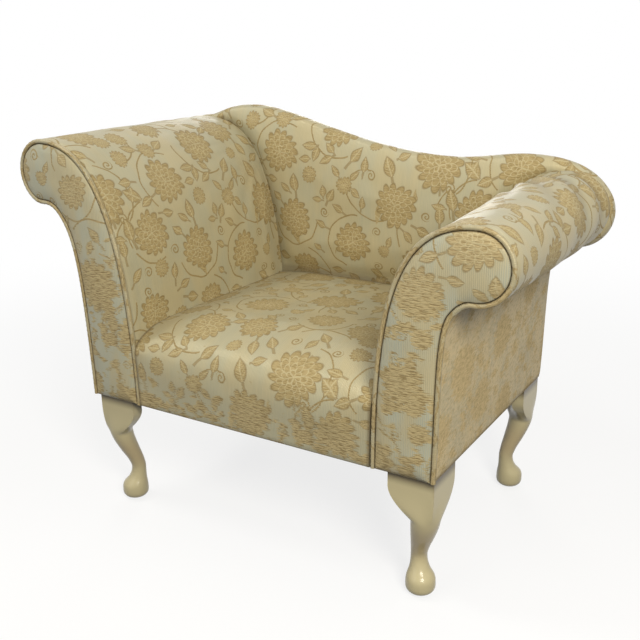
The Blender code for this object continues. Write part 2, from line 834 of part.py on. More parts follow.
def buildSeatFrame(high, low):
    """Front and side rails, corner blocks, springs and the cloth over and under them."""
    railX = halfWidth - outerInset
    railRear = frontRailFront + railDepth
    box("front_seat_rail", (-railX, frontRailFront, railFloor), (railX, railRear, railTop), hardwood())
    blockFront = railRear + gap
    for side, word in ((-1, "left"), (1, "right")):
        outer = side * railX
        inner = side * (railX - railDepth)
        near = (min(outer, inner), blockFront, railFloor)
        far = (max(outer, inner), rearBoardFront - gap, railTop)
        box("side_seat_rail_" + word, near, far, hardwood())
        for end, way, endWord in ((blockFront, 1, "front"), (rearBoardFront - gap, -1, "rear")):
            corner = (side * (railX - railDepth - gap), end)
            reach = [corner, (corner[0] - side * blockReach, end), (corner[0], end + way * blockReach)]
            rings = [[(x, y, z) for x, y in reach] for z in (railFloor, railFloor + blockHeight)]
            block = finish("corner_block_" + endWord + "_" + word, loft(rings), hardwood())
            buildLeg(side, way, endWord + "_" + word, block)
    left = heightAt(high.innerLine(padProud + innerSwell), coverFloor, 1)
    right = heightAt(low.innerLine(padProud + innerSwell), coverFloor, 1)
    rear = padFront - 2 * gap
    cover = ((left, frontRailFront, coverFloor), (right, rear, coverFloor + springCoverDepth))
    box("spring_cover", *cover, hessian())
    buildSprings(left, right)


def buildSprings(left, right):
    """Sinuous springs from the front rail to the rear rail."""
    front = frontRailFront + springLanding
    rear = backFrameFront + springLanding
    waves = round((rear - front) / springPitch)
    count = waves * springWaveSteps
    for number in range(springCount):
        middle = left + (right - left) * (2 * number + 1) / (2 * springCount)
        points = []
        for step in range(count + 1):
            share = step / count
            x = middle + springSwing * math.sin(2 * math.pi * waves * share)
            z = springHeight + springRise * math.sin(math.pi * share)
            points.append((x, front + (rear - front) * share, z))
        pipe("seat_spring_" + str(number + 1), points, springWire / 2, springSteel(), 0)


def legRing(level):
    """One level of a cabriole leg as (along the diagonal, across it), from the corner inwards."""
    foot = (footInset, footRadius)
    ankle = (ankleInset, ankleRadius)
    knee = (kneeInset, kneeRadius)
    stations = []
    for height, insetShare, radiusShare in footShares:
        inset = foot[0] + (ankle[0] - foot[0]) * insetShare
        stations.append((height, inset, foot[1] * radiusShare))
    for height, insetShare, radiusShare in shankShares:
        inset = ankle[0] + (knee[0] - ankle[0]) * insetShare
        stations.append((height, inset, ankle[1] + (knee[1] - ankle[1]) * radiusShare))
    inset = heightAt([(height, inset) for height, inset, _ in stations], level)
    radius = heightAt([(height, radius) for height, _, radius in stations], level)
    rising = smoothStep((level - ankleLevelShare) / (earLevelShare - ankleLevelShare))
    across = radius + (kneeAcross - kneeRadius) * rising
    ring = []
    for index in range(legSides):
        turn = 2 * math.pi * index / legSides
        reach = radius + kneeRidge * rising * smoothStep(math.cos(turn))
        ring.append((inset - reach * math.cos(turn), across * math.sin(turn)))
    return ring


def earRing():
    """Top of a leg: a square corner with an ear along each side of the seat."""
    thin = earDepth - earSetBack
    half = [(0, 0)] + [(earLength * share, 0) for share in earShares]
    half += [(earLength, thin / 2), (earLength, thin)]
    for share in earReturnShares:
        half.append((earLength + (legBackReach - earLength) * share, thin + (legBackReach - thin) * share))
    other = [(v, u) for u, v in half[-2:0:-1]]
    root = math.sqrt(1 / 2)
    ring = [(u + earSetBack, v + earSetBack) for u, v in half + other]
    return [((u + v) * root, (u - v) * root) for u, v in ring]


def buildLeg(side, way, place, block):
    """Cabriole leg, its glide and the bolt that holds it in the corner block."""
    root = math.sqrt(1 / 2)
    top = earRing()
    low = glideHeight + gap
    rings = []
    for level in legLevelShares:
        blend = math.sin(math.pi / 2 * max((level - earLevelShare) / (1 - earLevelShare), 0))
        ring = []
        for (stemIn, stemAcross), (earIn, earAcross) in zip(legRing(level), top):
            along = stemIn + (earIn - stemIn) * blend
            across = stemAcross + (earAcross - stemAcross) * blend
            u = (along + across) * root
            v = (along - across) * root
            ring.append(cornerPlace(side, way, u, v) + (low + (legHeight - low) * level,))
        rings.append(ring)
    leg = finish("cabriole_leg_" + place, loft(rings), creamPaint(), legCreaseAngle)

    axis = cornerPlace(side, way, boltInX, boltInY)
    boltFloor = legHeight - boltLength / 2
    hollow = boltRadius + gap
    holeEnds = [(hollow, boltFloor - gap), (hollow, legHeight + boltLength)]
    hole = turned("bolt_hole_" + place, axis, holeEnds, zincSteel())
    cut(leg, hole)
    cut(block, hole)
    cut(bpy.data.objects["dust_cover"], hole)
    boltEnds = [(boltRadius, boltFloor), (boltRadius, boltFloor + boltLength)]
    turned("leg_bolt_" + place, axis, boltEnds, zincSteel())
    foot = footInset * root
    glideAxis = cornerPlace(side, way, foot, foot)
    glide = [(glideRadius - glideEdge, 0), (glideRadius, glideEdge), (glideRadius, glideHeight)]
    turned("foot_glide_" + place, glideAxis, glide, zincSteel())


def cornerPlace(side, way, u, v):
    """Turns a place measured inwards from one corner of the base into X and Y."""
    x = side * (halfWidth + legSideSetOut - u)
    y = legFrontSetBack + v if way > 0 else bodyDepth - legRearSetBack - v
    return (x, y)


def turned(name, axis, profile, finishMaterial):
    """Round body about an upright axis, from its lowest radius and height to its highest."""
    rings = []
    for radius, height in profile:
        turns = [2 * math.pi * step / turnedSides for step in range(turnedSides)]
        ring = [(axis[0] + radius * math.cos(a), axis[1] + radius * math.sin(a)) for a in turns]
        rings.append([(x, y, height) for x, y in ring])
    return finish(name, loft(rings), finishMaterial)


def buildDustCover():
    x = halfWidth - outerInset - dustCoverInset
    front = frontRailFront + dustCoverInset
    rear = backFrameRear - dustCoverInset
    box("dust_cover", (-x, front, baseHeight), (x, rear, baseHeight + dustCoverDepth), liningCloth())


clearScene()
chair = bpy.data.objects.new("chair", None)
bpy.context.scene.collection.objects.link(chair)
leftReach = highRollX + highRollRadius + max(highRimSwell - highRimShift, pipingRadius)
rightReach = lowRollX + lowRollRadius + max(lowRimSwell - lowRimShift, pipingRadius)
chair.location = ((leftReach - rightReach) / 2, -bodyDepth / 2, 0)

highRoll = (highRollX, highRollHeight, highRollRadius, highHookAngle)
lowRoll = (lowRollX, lowRollHeight, lowRollRadius, lowHookAngle)
highArm = Arm(-1, *highRoll, highFootSpread, highFacingReach, highPullShares)
lowArm = Arm(1, *lowRoll, lowFootSpread, lowFacingReach, lowPullShares)
highArm.swell(highRollSwell, highRimSwell, highRimDrop, highRimShift)
lowArm.swell(lowRollSwell, lowRimSwell, lowRimDrop, lowRimShift)
armPockets = []
armPanels = []
for arm in (highArm, lowArm):
    buildFacing(arm)
    buildPiping(arm)
    armPocket, armPanel = buildArm(arm)
    armPockets.append(armPocket)
    armPanels.append(armPanel)
buildDustCover()
buildSeatFrame(highArm, lowArm)
buildSeatPadding(highArm, lowArm)
buildBackFrame(highArm, lowArm)
buildBackPadding(highArm, lowArm, armPockets, armPanels)
buildOutsideBack(highArm, lowArm)
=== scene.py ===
import json
from functools import reduce
from math import atan2, cos, hypot, pi, radians, sin, sqrt, tau

import bmesh
import bpy
import numpy as np
from mathutils import Matrix, Vector
from mathutils.geometry import delaunay_2d_cdt


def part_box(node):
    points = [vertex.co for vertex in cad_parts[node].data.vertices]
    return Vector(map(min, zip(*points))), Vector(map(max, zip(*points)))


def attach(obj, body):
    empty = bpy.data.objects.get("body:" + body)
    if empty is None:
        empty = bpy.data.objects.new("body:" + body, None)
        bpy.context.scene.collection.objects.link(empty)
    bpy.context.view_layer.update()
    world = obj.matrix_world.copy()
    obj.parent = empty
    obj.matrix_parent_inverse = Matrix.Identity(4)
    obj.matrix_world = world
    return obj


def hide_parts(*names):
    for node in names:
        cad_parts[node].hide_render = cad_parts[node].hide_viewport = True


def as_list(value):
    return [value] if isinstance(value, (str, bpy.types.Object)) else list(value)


# Scroll-arm chair in floral damask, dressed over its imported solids. Metres, Z up, low arm at +X.
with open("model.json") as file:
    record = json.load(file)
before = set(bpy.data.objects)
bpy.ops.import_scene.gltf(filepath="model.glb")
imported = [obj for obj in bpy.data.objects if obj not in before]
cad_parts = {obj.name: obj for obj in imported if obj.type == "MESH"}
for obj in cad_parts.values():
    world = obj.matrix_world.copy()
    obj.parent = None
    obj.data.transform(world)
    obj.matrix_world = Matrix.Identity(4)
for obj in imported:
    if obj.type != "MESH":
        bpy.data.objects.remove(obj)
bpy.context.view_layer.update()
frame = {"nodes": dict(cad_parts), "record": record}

# Sizes of the whole chair. The curves are laid out from the middle of the base (x) and its front (y)
chair = {
    "baseWidth": 0.811,
    "bodyDepth": 0.582,
    "baseHeight": 0.264,
    "seatHeight": 0.430,
    "deckHeight": 0.3606,  # top of the rails, under the padding
    "shift": (0.014, -0.291, 0.0),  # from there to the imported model
    "boardFront": 0.0103,
    "padFront": 0.5443,
    "backRear": 0.5772,
    "pipingRadius": 0.005,
    "gap": 0.0003,
    "padProud": 0.0035,  # how far the arms' cloth stands off their line
    "innerSwell": 0.012,  # more than that towards the back
    "outerInset": 0.0023,
}
halfWidth = chair["baseWidth"] / 2 - chair["pipingRadius"]
shift = Vector(chair["shift"])


def smooth(t):
    t = np.clip(t, 0, 1)
    return t * t * (3 - 2 * t)


def rounded(t):  # a quarter circle: 0 at an edge, 1 inside it
    return np.sqrt(1 - (1 - np.clip(t, 0, 1)) ** 2)


def bezier(a, b, c, d, count):
    t = np.linspace(0, 1, count + 1)[1:, None]
    a, b, c, d = (np.array(p, float) for p in (a, b, c, d))
    return (1 - t) ** 3 * a + 3 * t * (1 - t) ** 2 * b + 3 * t * t * (1 - t) * c + t**3 * d


def sideways(points):  # unit directions on the right hand of a line
    way = np.gradient(points, axis=0)
    way /= np.maximum(np.linalg.norm(way, axis=1, keepdims=True), 1e-9)
    return np.stack([way[:, 1], -way[:, 0]], 1)


def lengthAlong(points):
    steps = np.linalg.norm(np.diff(points, axis=0), axis=1)
    return np.concatenate([[0], np.cumsum(steps)])


def evenLine(line, step):
    runs = lengthAlong(line)
    marks = np.linspace(0, runs[-1], int(runs[-1] / step))
    return np.stack([np.interp(marks, runs, line[:, 0]), np.interp(marks, runs, line[:, 1])], 1), marks


def makePiece(name, points, faces, uvs, finish, slotName, replaced, fill=None, paintedShadeMarks=None):
    # one piece from chair coordinates, with its cloth coordinates in metres
    mesh = bpy.data.meshes.new(name)
    mesh.from_pydata([tuple(Vector(p) + shift) for p in points], [], faces)
    shape = bmesh.new()
    shape.from_mesh(mesh)
    bmesh.ops.recalc_face_normals(shape, faces=shape.faces)
    if uvs is not None:
        layer = shape.loops.layers.uv.new("cloth")
        for face in shape.faces:
            for loop in face.loops:
                loop[layer].uv = uvs[loop.vert.index]
    shape.to_mesh(mesh)
    shape.free()
    # painted shade of seams, creases and fold grooves, kept on the points for the cloth's colour
    if paintedShadeMarks is not None:
        shade = mesh.attributes.new("paintedShade", "FLOAT", "POINT")
        shade.data.foreach_set("value", np.asarray(paintedShadeMarks, np.float32))
    mesh.shade_smooth()
    mesh.set_sharp_from_angle(angle=radians(48))
    mesh.materials.append(finish)
    piece = bpy.data.objects.new(name, mesh)
    bpy.context.scene.collection.objects.link(piece)
    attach(piece, "root")
    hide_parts(replaced)
    return piece


def gridFaces(rows, columns, closed=False):
    faces = []
    for start in range(0, (rows - 1) * columns, columns):
        for column in range(columns if closed else columns - 1):
            a, b = start + column, start + (column + 1) % columns
            faces.append((a, b, b + columns, a + columns))
    return faces


def shellFaces(rows, columns, behind=2):
    # a net of cloth, closed at its rear by rows of points from its first edge to its last
    first = rows * columns
    strips = [(0, first), (first - columns, first + (behind - 1) * columns)]
    strips += [(first + row * columns, first + (row + 1) * columns) for row in range(behind - 1)]
    faces = gridFaces(rows, columns)
    for column in range(columns - 1):
        for a, b in strips:
            faces.append((a + column, a + column + 1, b + column + 1, b + column))
    for column in (0, columns - 1):
        rear = [first + row * columns + column for row in reversed(range(behind))]
        faces.append([*range(column, first, columns), *rear])
    return faces


plumping = {"quality": 6, "mass": 0.25, "stretch": 12, "bend": 0.4, "pressure": 4, "steps": 20}


def plump(piece, held, most):
    # cloth under light pressure, held where it is sewn; a point moves no further than most
    mesh = piece.data
    before = np.empty(len(mesh.vertices) * 3)
    mesh.vertices.foreach_get("co", before)
    pins = piece.vertex_groups.new(name="sewn")
    for index, weight in enumerate(held):
        pins.add([index], float(weight), "REPLACE")
    soft = piece.modifiers.new("soften", "CLOTH")
    settings = soft.settings
    settings.quality = plumping["quality"]
    settings.mass = plumping["mass"]
    settings.tension_stiffness = settings.compression_stiffness = plumping["stretch"]
    settings.shear_stiffness = plumping["stretch"] / 3
    settings.bending_stiffness = plumping["bend"]
    settings.vertex_group_mass = pins.name
    settings.use_pressure = True
    settings.uniform_pressure_force = plumping["pressure"]
    settings.effector_weights.gravity = 0
    soft.collision_settings.use_collision = False
    scene = bpy.context.scene
    for step in range(1, plumping["steps"] + 1):
        scene.frame_set(step)
    shaped = piece.evaluated_get(bpy.context.evaluated_depsgraph_get()).to_mesh()
    after = np.empty(len(mesh.vertices) * 3)
    shaped.vertices.foreach_get("co", after)
    piece.modifiers.remove(soft)
    piece.vertex_groups.clear()
    scene.frame_set(1)
    moved = (after - before).reshape(-1, 3)
    far = np.linalg.norm(moved, axis=1)
    moved *= (np.minimum(far, most) / np.maximum(far, 1e-9) * (1 - np.asarray(held)))[:, None]
    mesh.vertices.foreach_set("co", before + moved.ravel())
    mesh.update()
    print(piece.name, "plumped by at most", round(float(np.abs(moved).max()) * 1000, 1), "mm")


def wander(points, size, height, seed, waves=5):
    # slow unevenness of stuffed cloth, the same each run
    rng = np.random.default_rng(seed)
    points = np.asarray(points, float)
    total = np.zeros(len(points))
    for _ in range(waves):
        wave = rng.normal(size=3)
        wave /= np.linalg.norm(wave)
        total += np.sin(points @ wave * tau / (size * rng.uniform(0.7, 1.4)) + rng.uniform(0, 6.28))
    return total * height / waves


# Materials


class Wire:
    # an output of a node; sums of wires become Math nodes
    def __init__(self, nodes, socket):
        self.nodes, self.socket = nodes, socket

    def __add__(self, other):
        return self.nodes.math("ADD", self, other)

    def __sub__(self, other):
        return self.nodes.math("SUBTRACT", self, other)

    def __rsub__(self, other):
        return self.nodes.math("SUBTRACT", other, self)

    def __mul__(self, other):
        return self.nodes.math("MULTIPLY", self, other)

    def __truediv__(self, other):
        return self.nodes.math("DIVIDE", self, other)

    def __abs__(self):
        return self.nodes.math("ABSOLUTE", self)

    def line(self, slope, start, clamp=False):
        return self.nodes.math("MULTIPLY_ADD", self, slope, start, clamp=clamp)


class Nodes:
    # short calls for the many nodes of a finish
    def __init__(self, tree):
        self.tree = tree

    def join(self, value, socket):
        if isinstance(value, Wire):
            self.tree.links.new(value.socket, socket)
        else:
            socket.default_value = (*value, 1) if socket.type == "RGBA" else value

    def put(self, kind, *values, into=None, **settings):
        # values go to the first sockets in their order, into names others
        node = self.tree.nodes.new(kind if kind.startswith("Node") else "ShaderNode" + kind)
        for key, value in settings.items():
            setattr(node, key, value)
        for value, socket in zip(values, node.inputs):
            self.join(value, socket)
        for key, value in (into or {}).items():
            self.join(value, node.inputs[key])
        return node

    def out(self, kind, *values, output=0, **settings):
        return Wire(self, self.put(kind, *values, **settings).outputs[output])

    def outs(self, kind, *values, **settings):
        return [Wire(self, socket) for socket in self.put(kind, *values, **settings).outputs]

    def math(self, operation, *values, clamp=False):
        return self.out("Math", *values, operation=operation, use_clamp=clamp)

    def most(self, a, b):
        return self.math("MAXIMUM", a, b)

    def least(self, a, b):
        return self.math("MINIMUM", a, b)

    def vector(self, operation, *values):
        single = operation in ("LENGTH", "DOT_PRODUCT")
        return self.out("VectorMath", *values, operation=operation, output=int(single))

    def scaled(self, value, factor):
        return self.out("VectorMath", value, operation="SCALE", into={"Scale": factor})

    def split(self, value):
        return self.outs("SeparateXYZ", value)

    def combine(self, x, y, z=0.0):
        return self.out("CombineXYZ", x, y, z)

    def mix(self, share, a, b, kind="RGBA"):
        node = self.put("Mix", data_type=kind)
        for value, socket in zip((share, a, b), [s for s in node.inputs if s.enabled]):
            self.join(value, socket)
        return Wire(self, [s for s in node.outputs if s.enabled][0])

    def ramp(self, value, low, high, toLow=0.0, toHigh=1.0):
        return self.out("MapRange", value, low, high, toLow, toHigh, interpolation_type="SMOOTHSTEP")

    def noise(self, at, scale, detail=2.0, roughness=0.5, dimensions="3D", output="Fac"):
        into = {"Vector": at, "Scale": scale, "Detail": detail, "Roughness": roughness}
        return self.out("TexNoise", output=output, into=into, noise_dimensions=dimensions)

    def bump(self, height, strength, distance, **under):
        return self.out("Bump", into={"Strength": strength, "Distance": distance, "Height": height, **under})

    def placed(self, at, angle, size):
        # turns cloth coordinates into a motif's own, 1 at its edge
        along, beside = cos(angle) / size, sin(angle) / size
        x = self.vector("DOT_PRODUCT", at, (along, beside, 0))
        return self.combine(x, self.vector("DOT_PRODUCT", at, (-beside, along, 0)))

    def surface(self, values):
        for key, value in values.items():
            self.join(value, self.tree.nodes["Principled BSDF"].inputs[key])


def newFinish(name):
    material = bpy.data.materials.new(name)
    material.use_nodes = True
    return material, Nodes(material.node_tree)


def shaded(color, factor):
    return tuple(part * factor for part in color)


# Places and sizes of the motifs are in millimetres on the cloth, angles in radians
figure = {
    "width": 600, "height": 420, "stemWidth": 1.6, "soft": 0.4,
    "wobble": 3.4, "wobbleGrain": 26,
    # heads: across, up, radius, turn
    "heads": [
        (-255, 736, 49, 0.3), (-216, 577, 46, 1.7), (60, 632, 51, 2.9), (156, 727, 56, 0.9),
        (-53, 533, 47, 2.2), (-100, 802, 47, 0.6), (-345, 635, 47, 4.0), (115, 500, 37, 1.2),
        (-378, 474, 40, 5.1), (-192, 455, 34, 3.3), (-341, 806, 21, 0.8), (-171, 686, 19, 2.5),
        (-76, 668, 22, 1.4), (-3, 763, 15, 0.2), (-300, 860, 24, 3.9), (30, 522, 16, 5.5),
        (262, 560, 19, 0.5), (10, 412, 40, 2.0), (250, 436, 22, 4.4), (-255, 392, 21, 1.1),
    ],
    # leaves: across, up, half length, angle of their tip
    "leaves": [
        (-174, 753, 17, 3.2), (-157, 734, 17, 4.5), (-121, 750, 16, 2.3), (-128, 722, 17, 3.6),
        (-50, 738, 21, 0.9), (-26, 717, 18, 1.4), (36, 716, 24, 2.0), (-214, 664, 21, 1.7),
        (-241, 650, 15, 2.5), (-131, 650, 15, 1.7), (-111, 640, 16, 1.1), (-148, 628, 14, 3.0),
        (-100, 700, 15, 2.2), (-50, 690, 15, 0.7), (-45, 650, 15, 5.6), (-140, 570, 15, 2.7),
        (-94, 612, 16, 2.6), (-26, 631, 14, 1.4), (196, 655, 24, 1.8), (166, 638, 16, 2.9),
        (-150, 512, 13, 2.4), (45, 545, 13, 1.2), (-422, 753, 23, 1.9), (-365, 722, 24, 2.5),
        (-436, 698, 18, 1.6), (-430, 619, 19, 1.6), (-302, 545, 18, 1.4), (234, 750, 17, 3.0),
        (236, 722, 18, 4.3), (268, 700, 18, 3.6), (-275, 512, 17, 0.4), (5, 462, 17, 2.6),
        (-40, 838, 18, 0.6), (190, 560, 17, 0.8), (70, 788, 19, 2.2), (-302, 404, 19, 2.7),
        (-215, 402, 18, 0.5), (82, 432, 20, 0.9), (165, 415, 21, 2.3), (-128, 398, 20, 1.2),
        (-58, 440, 18, 2.5), (200, 468, 18, 1.7), (132, 576, 19, 5.9), (-255, 477, 18, 6.1),
        (69, 741, 17, 0.5), (-270, 627, 17, 2.4), (39, 768, 18, 5.0), (93, 561, 16, 5.5),
        (-105, 456, 16, 3.0), (-282, 669, 16, 6.2), (-186, 723, 15, 3.1), (150, 804, 17, 4.4),
    ],
    # stems: centre across, centre up, radius, middle angle, half span
    "stems": [
        (-100, 802, 75, 4.05, 1.05), (-53, 533, 66, 2.85, 1.50), (-255, 736, 70, 2.45, 1.50),
        (20, 690, 98, 4.20, 0.62), (-26, 672, 35, 2.00, 0.95), (-216, 577, 65, -1.45, 1.35),
        (-200, 440, 70, 0.62, 0.62), (125, 570, 62, 2.95, 0.75), (-345, 635, 62, 4.40, 0.75),
        (255, 640, 64, 2.60, 0.95), (-400, 640, 36, 2.50, 0.90), (158, 728, 74, 0.20, 1.10),
        (-340, 845, 52, 5.40, 1.10), (115, 500, 60, 5.20, 1.20), (-180, 372, 85, 1.40, 0.90),
        (160, 372, 75, 1.60, 0.80),
    ],
    # curls: across, up, outer radius, turn
    "curls": [
        (-8, 693, 12.5, 0.3), (14, 566, 12.5, 0.1), (12, 480, 11, 0.4), (-412, 678, 13, 0.3),
        (-378, 560, 12, 0.2), (215, 795, 12, 0.6), (210, 520, 11.5, 0.9), (114, 807, 13, 0.5),
        (51, 474, 12, 0.6), (-288, 588, 12, 0.2), (135, 615, 12, 0.9), (-129, 600, 11, 0.8),
    ],
    # rings of petals: how many, reach, bite between them, turn
    "petals": [(14, 1.0, 0.95, 0.0), (12, 0.76, 1.2, 0.5), (10, 0.52, 1.3, 0.2), (6, 0.28, 1.4, 0.0)],
}


def floralFigure():
    # heads, leaves, stems and curls of the damask, repeated over the cloth
    tree = bpy.data.node_groups.new("floralFigure", "ShaderNodeTree")
    tree.interface.new_socket("Cloth", in_out="INPUT", socket_type="NodeSocketVector")
    for name in ("Figure", "Lines", "Outline"):
        tree.interface.new_socket(name, in_out="OUTPUT", socket_type="NodeSocketFloat")
    n = Nodes(tree)
    cloth = n.out("NodeGroupInput")
    half = (figure["width"] / 2000, figure["height"] / 2000, 1)
    drift = n.noise(cloth, figure["wobbleGrain"], 0, dimensions="2D", output="Color")
    drifted = n.scaled(n.vector("SUBTRACT", drift, (0.5, 0.5, 0.5)), 2 * figure["wobble"] / 1000)
    flat = n.vector("MULTIPLY", n.vector("ADD", cloth, drifted), (1, 1, 0))

    def motifs(kind):
        for across, up, size, *turns in figure[kind]:
            away = n.vector("SUBTRACT", flat, (across / 1000, up / 1000, 0))
            yield n.vector("WRAP", away, half, (-half[0], -half[1], -1)), size / 1000, *turns

    def nearest(kind, narrow=1):
        # the motif whose own coordinates are shortest here
        best = reach = None
        for away, size, turn in motifs(kind):
            own = n.placed(away, turn, size)
            length = n.vector("LENGTH", n.vector("MULTIPLY", own, (1, narrow, 1)))
            if best is None:
                best, reach = own, length
            else:
                closer = n.math("LESS_THAN", length, reach)
                best, reach = n.mix(closer, best, own, "VECTOR"), n.least(length, reach)
        return best

    # flower heads: rings of round petals
    head = nearest("heads")
    x, y, _ = n.split(head)
    radius = n.vector("LENGTH", head)
    turn = n.math("ARCTAN2", y, x) / tau
    radius = radius + n.math("SINE", turn * (3 * tau)) * 0.05
    turn = turn + radius * 0.05
    edges = []
    for petals, reach, bite, phase in figure["petals"]:
        across = n.math("WRAP", turn.line(petals, phase), 0.5, -0.5)
        edges.append((across * across * (-bite * reach) + reach, abs(across), petals))
    headEdge = edges[0][0] - radius
    headMask = n.ramp(headEdge, -0.012, 0.012)
    headOutline = n.ramp(abs(headEdge), 0.065, 0.020)
    lines = []
    for index, (edge, across, petals) in enumerate(edges):
        between = (0.5 - across) * (tau / petals) * radius + n.math("GREATER_THAN", radius, edge)
        if index + 1 < len(edges):
            between = between + n.math("LESS_THAN", radius, edges[index + 1][0])
        lines.append(n.least(abs(edge - radius), between) if index else between)
    headLines = n.ramp(reduce(n.least, lines), 0.032, 0.010) * headMask

    # leaves: pointed ovals with a midrib and side veins
    x, y, _ = n.split(nearest("leaves", 1.6))
    y = abs(y)
    width = (1.0 - x * x) * 0.54 * x.line(-0.3, 1.0)
    stalk = n.least(0.5 - abs(x + 1.3), 0.07 - y)
    leafEdge = n.most(width - y, stalk)
    leafMask = n.ramp(leafEdge, -0.03, 0.03)
    leafOutline = n.ramp(abs(leafEdge), 0.12, 0.04)
    vein = abs(n.math("WRAP", (x - y * 0.9) * 3.2, 0.5, -0.5)) * 0.8
    leafLines = n.ramp(n.least(y, vein), 0.09, 0.03) * leafMask

    # stems: arcs of circles, then curls
    thin = []
    for away, size, middle, span in motifs("stems"):
        far = n.vector("LENGTH", away)
        facing = n.vector("DOT_PRODUCT", away, (cos(middle), sin(middle), 0))
        past = n.math("LESS_THAN", facing, far * cos(span))
        thin.append(abs(far - size) + past)
    for away, size, start in motifs("curls"):
        far = n.vector("LENGTH", away)
        x, y, _ = n.split(away)
        angle = n.math("ARCTAN2", y, x).line(1 / tau, start)
        pitch = size / 1.6
        arm = n.math("WRAP", far / pitch - angle, 0.5, -0.5)
        thin.append(abs(arm) * pitch + n.math("GREATER_THAN", far, size))
    width, soft = figure["stemWidth"] / 1000, figure["soft"] / 1000
    stemMask = n.ramp(reduce(n.least, thin), width + soft, width - soft)

    inFlower = n.most(headMask, leafMask)
    whole = n.most(inFlower, stemMask)
    offHead = 1.0 - headMask
    outline = n.most(headOutline, leafOutline * offHead)
    outline = n.most(outline, stemMask * inFlower.line(-0.7, 0.7))
    n.put("NodeGroupOutput", whole, n.most(headLines, leafLines * offHead), outline)
    return tree


# The cloth of the arms' and the back's covers
damaskLook = {
    "ground": (0.420, 0.360, 0.212),
    "satinCool": (0.338, 0.345, 0.262),
    "gold": ((0.268, 0.198, 0.082), (0.375, 0.290, 0.135)),  # between the threads, darkened as painted shade, and on their tops, lightened as a painted highlight
    # painted shade: the dark brown laid into seams, creases and fold grooves
    "seam": (0.060, 0.038, 0.016),
    "edge": (0.185, 0.128, 0.045),
    "cool": 0.35,  # mean share of the cool tone, and how far it swings
    "clouds": 0.5,
    "rim": 0.6,
    "veins": 0.85,
    "ribs": 0.25,
    "ribPitch": 0.0034,
    "ragged": 0.0006,  # how far thick threads stray past the figure's edge, in metres
    "raggedFrom": None,  # heights over which the figure turns from ragged to clean
    "flecks": 0,  # slanting flecks of both threads, where the cloth is worn loose
    "fleckTones": ((0.47, 0.34, (0.390, 0.305, 0.155)), (0.53, 0.66, (0.700, 0.545, 0.310))),
    # how many to a metre, across and up
    "slubGrain": (58, 450), "streakGrain": (420, 14), "cloudGrain": (16, 7, 0), "patchGrain": (24, 34, 0),
    "fleckGrain": (85, 150), "weaveGrain": 900.0, "padWaves": 13,
    # how strongly that painted shade darkens the cloth
    "creaseShade": 0.85,
    "satinRoughness": 0.37,
    "goldRoughness": 0.62,
    "anisotropy": 0.5,
    "specular": 0.70,
    "shine": (1.0, 0.89, 0.64),
    "sheen": 0.03,
    "sheenTint": (1.0, 0.96, 0.85),
    "ribRelief": 0.00022,
    "threadRelief": 0.0017,
    "padRelief": 0.006,
}

# the same cloth on other panels: what differs there. Low down, its loose threads run together in patches
clothKinds = {
    "panelDamask": {},
    "seatDamask": {
        # low down, the border gets a painted cool sheen as well as patches of loose threads
        "ragged": 0.0075, "raggedFrom": (0.290, 0.395), "patches": 0.74, "paintedCoolSheen": 0.70, "veins": 0.8,
        "gold": ((0.255, 0.188, 0.075), (0.385, 0.298, 0.140)),
        # the same pair low down, where the threads' painted shade and highlight are stronger
        "lowGold": ((0.225, 0.165, 0.070), (0.480, 0.385, 0.205)),
    },
    "faceDamask": {
        "ragged": 0.0065, "raggedFrom": (0.560, 0.670), "patches": 0.76, "rim": 0.5, "ribs": 0.5,
        # more and stronger cool tone on the facings: partly a painted cool sheen of cloth that faces the
        # front
        "satinCool": (0.365, 0.380, 0.305), "cool": 0.66, "clouds": 0.9,
        "gold": ((0.300, 0.225, 0.105), (0.430, 0.345, 0.185)),
        "lowGold": ((0.245, 0.180, 0.078), (0.470, 0.378, 0.200)),
    },
    "outsideDamask": {
        "ground": (0.590, 0.482, 0.278), "gold": ((0.530, 0.415, 0.222), (0.610, 0.485, 0.270)),
        "cool": 0.20, "clouds": 0.40, "ragged": 0.0140, "rim": 0.0, "veins": 0.0, "flecks": 0.6,
        "specular": 0.10, "sheen": 0.0,
    },
    "pipingDamask": {
        "ground": (0.370, 0.310, 0.180), "gold": ((0.250, 0.185, 0.080), (0.430, 0.340, 0.180)),
        "cool": 0.20, "ragged": 0.0015, "rim": 0.4, "veins": 0.3,
    },
}


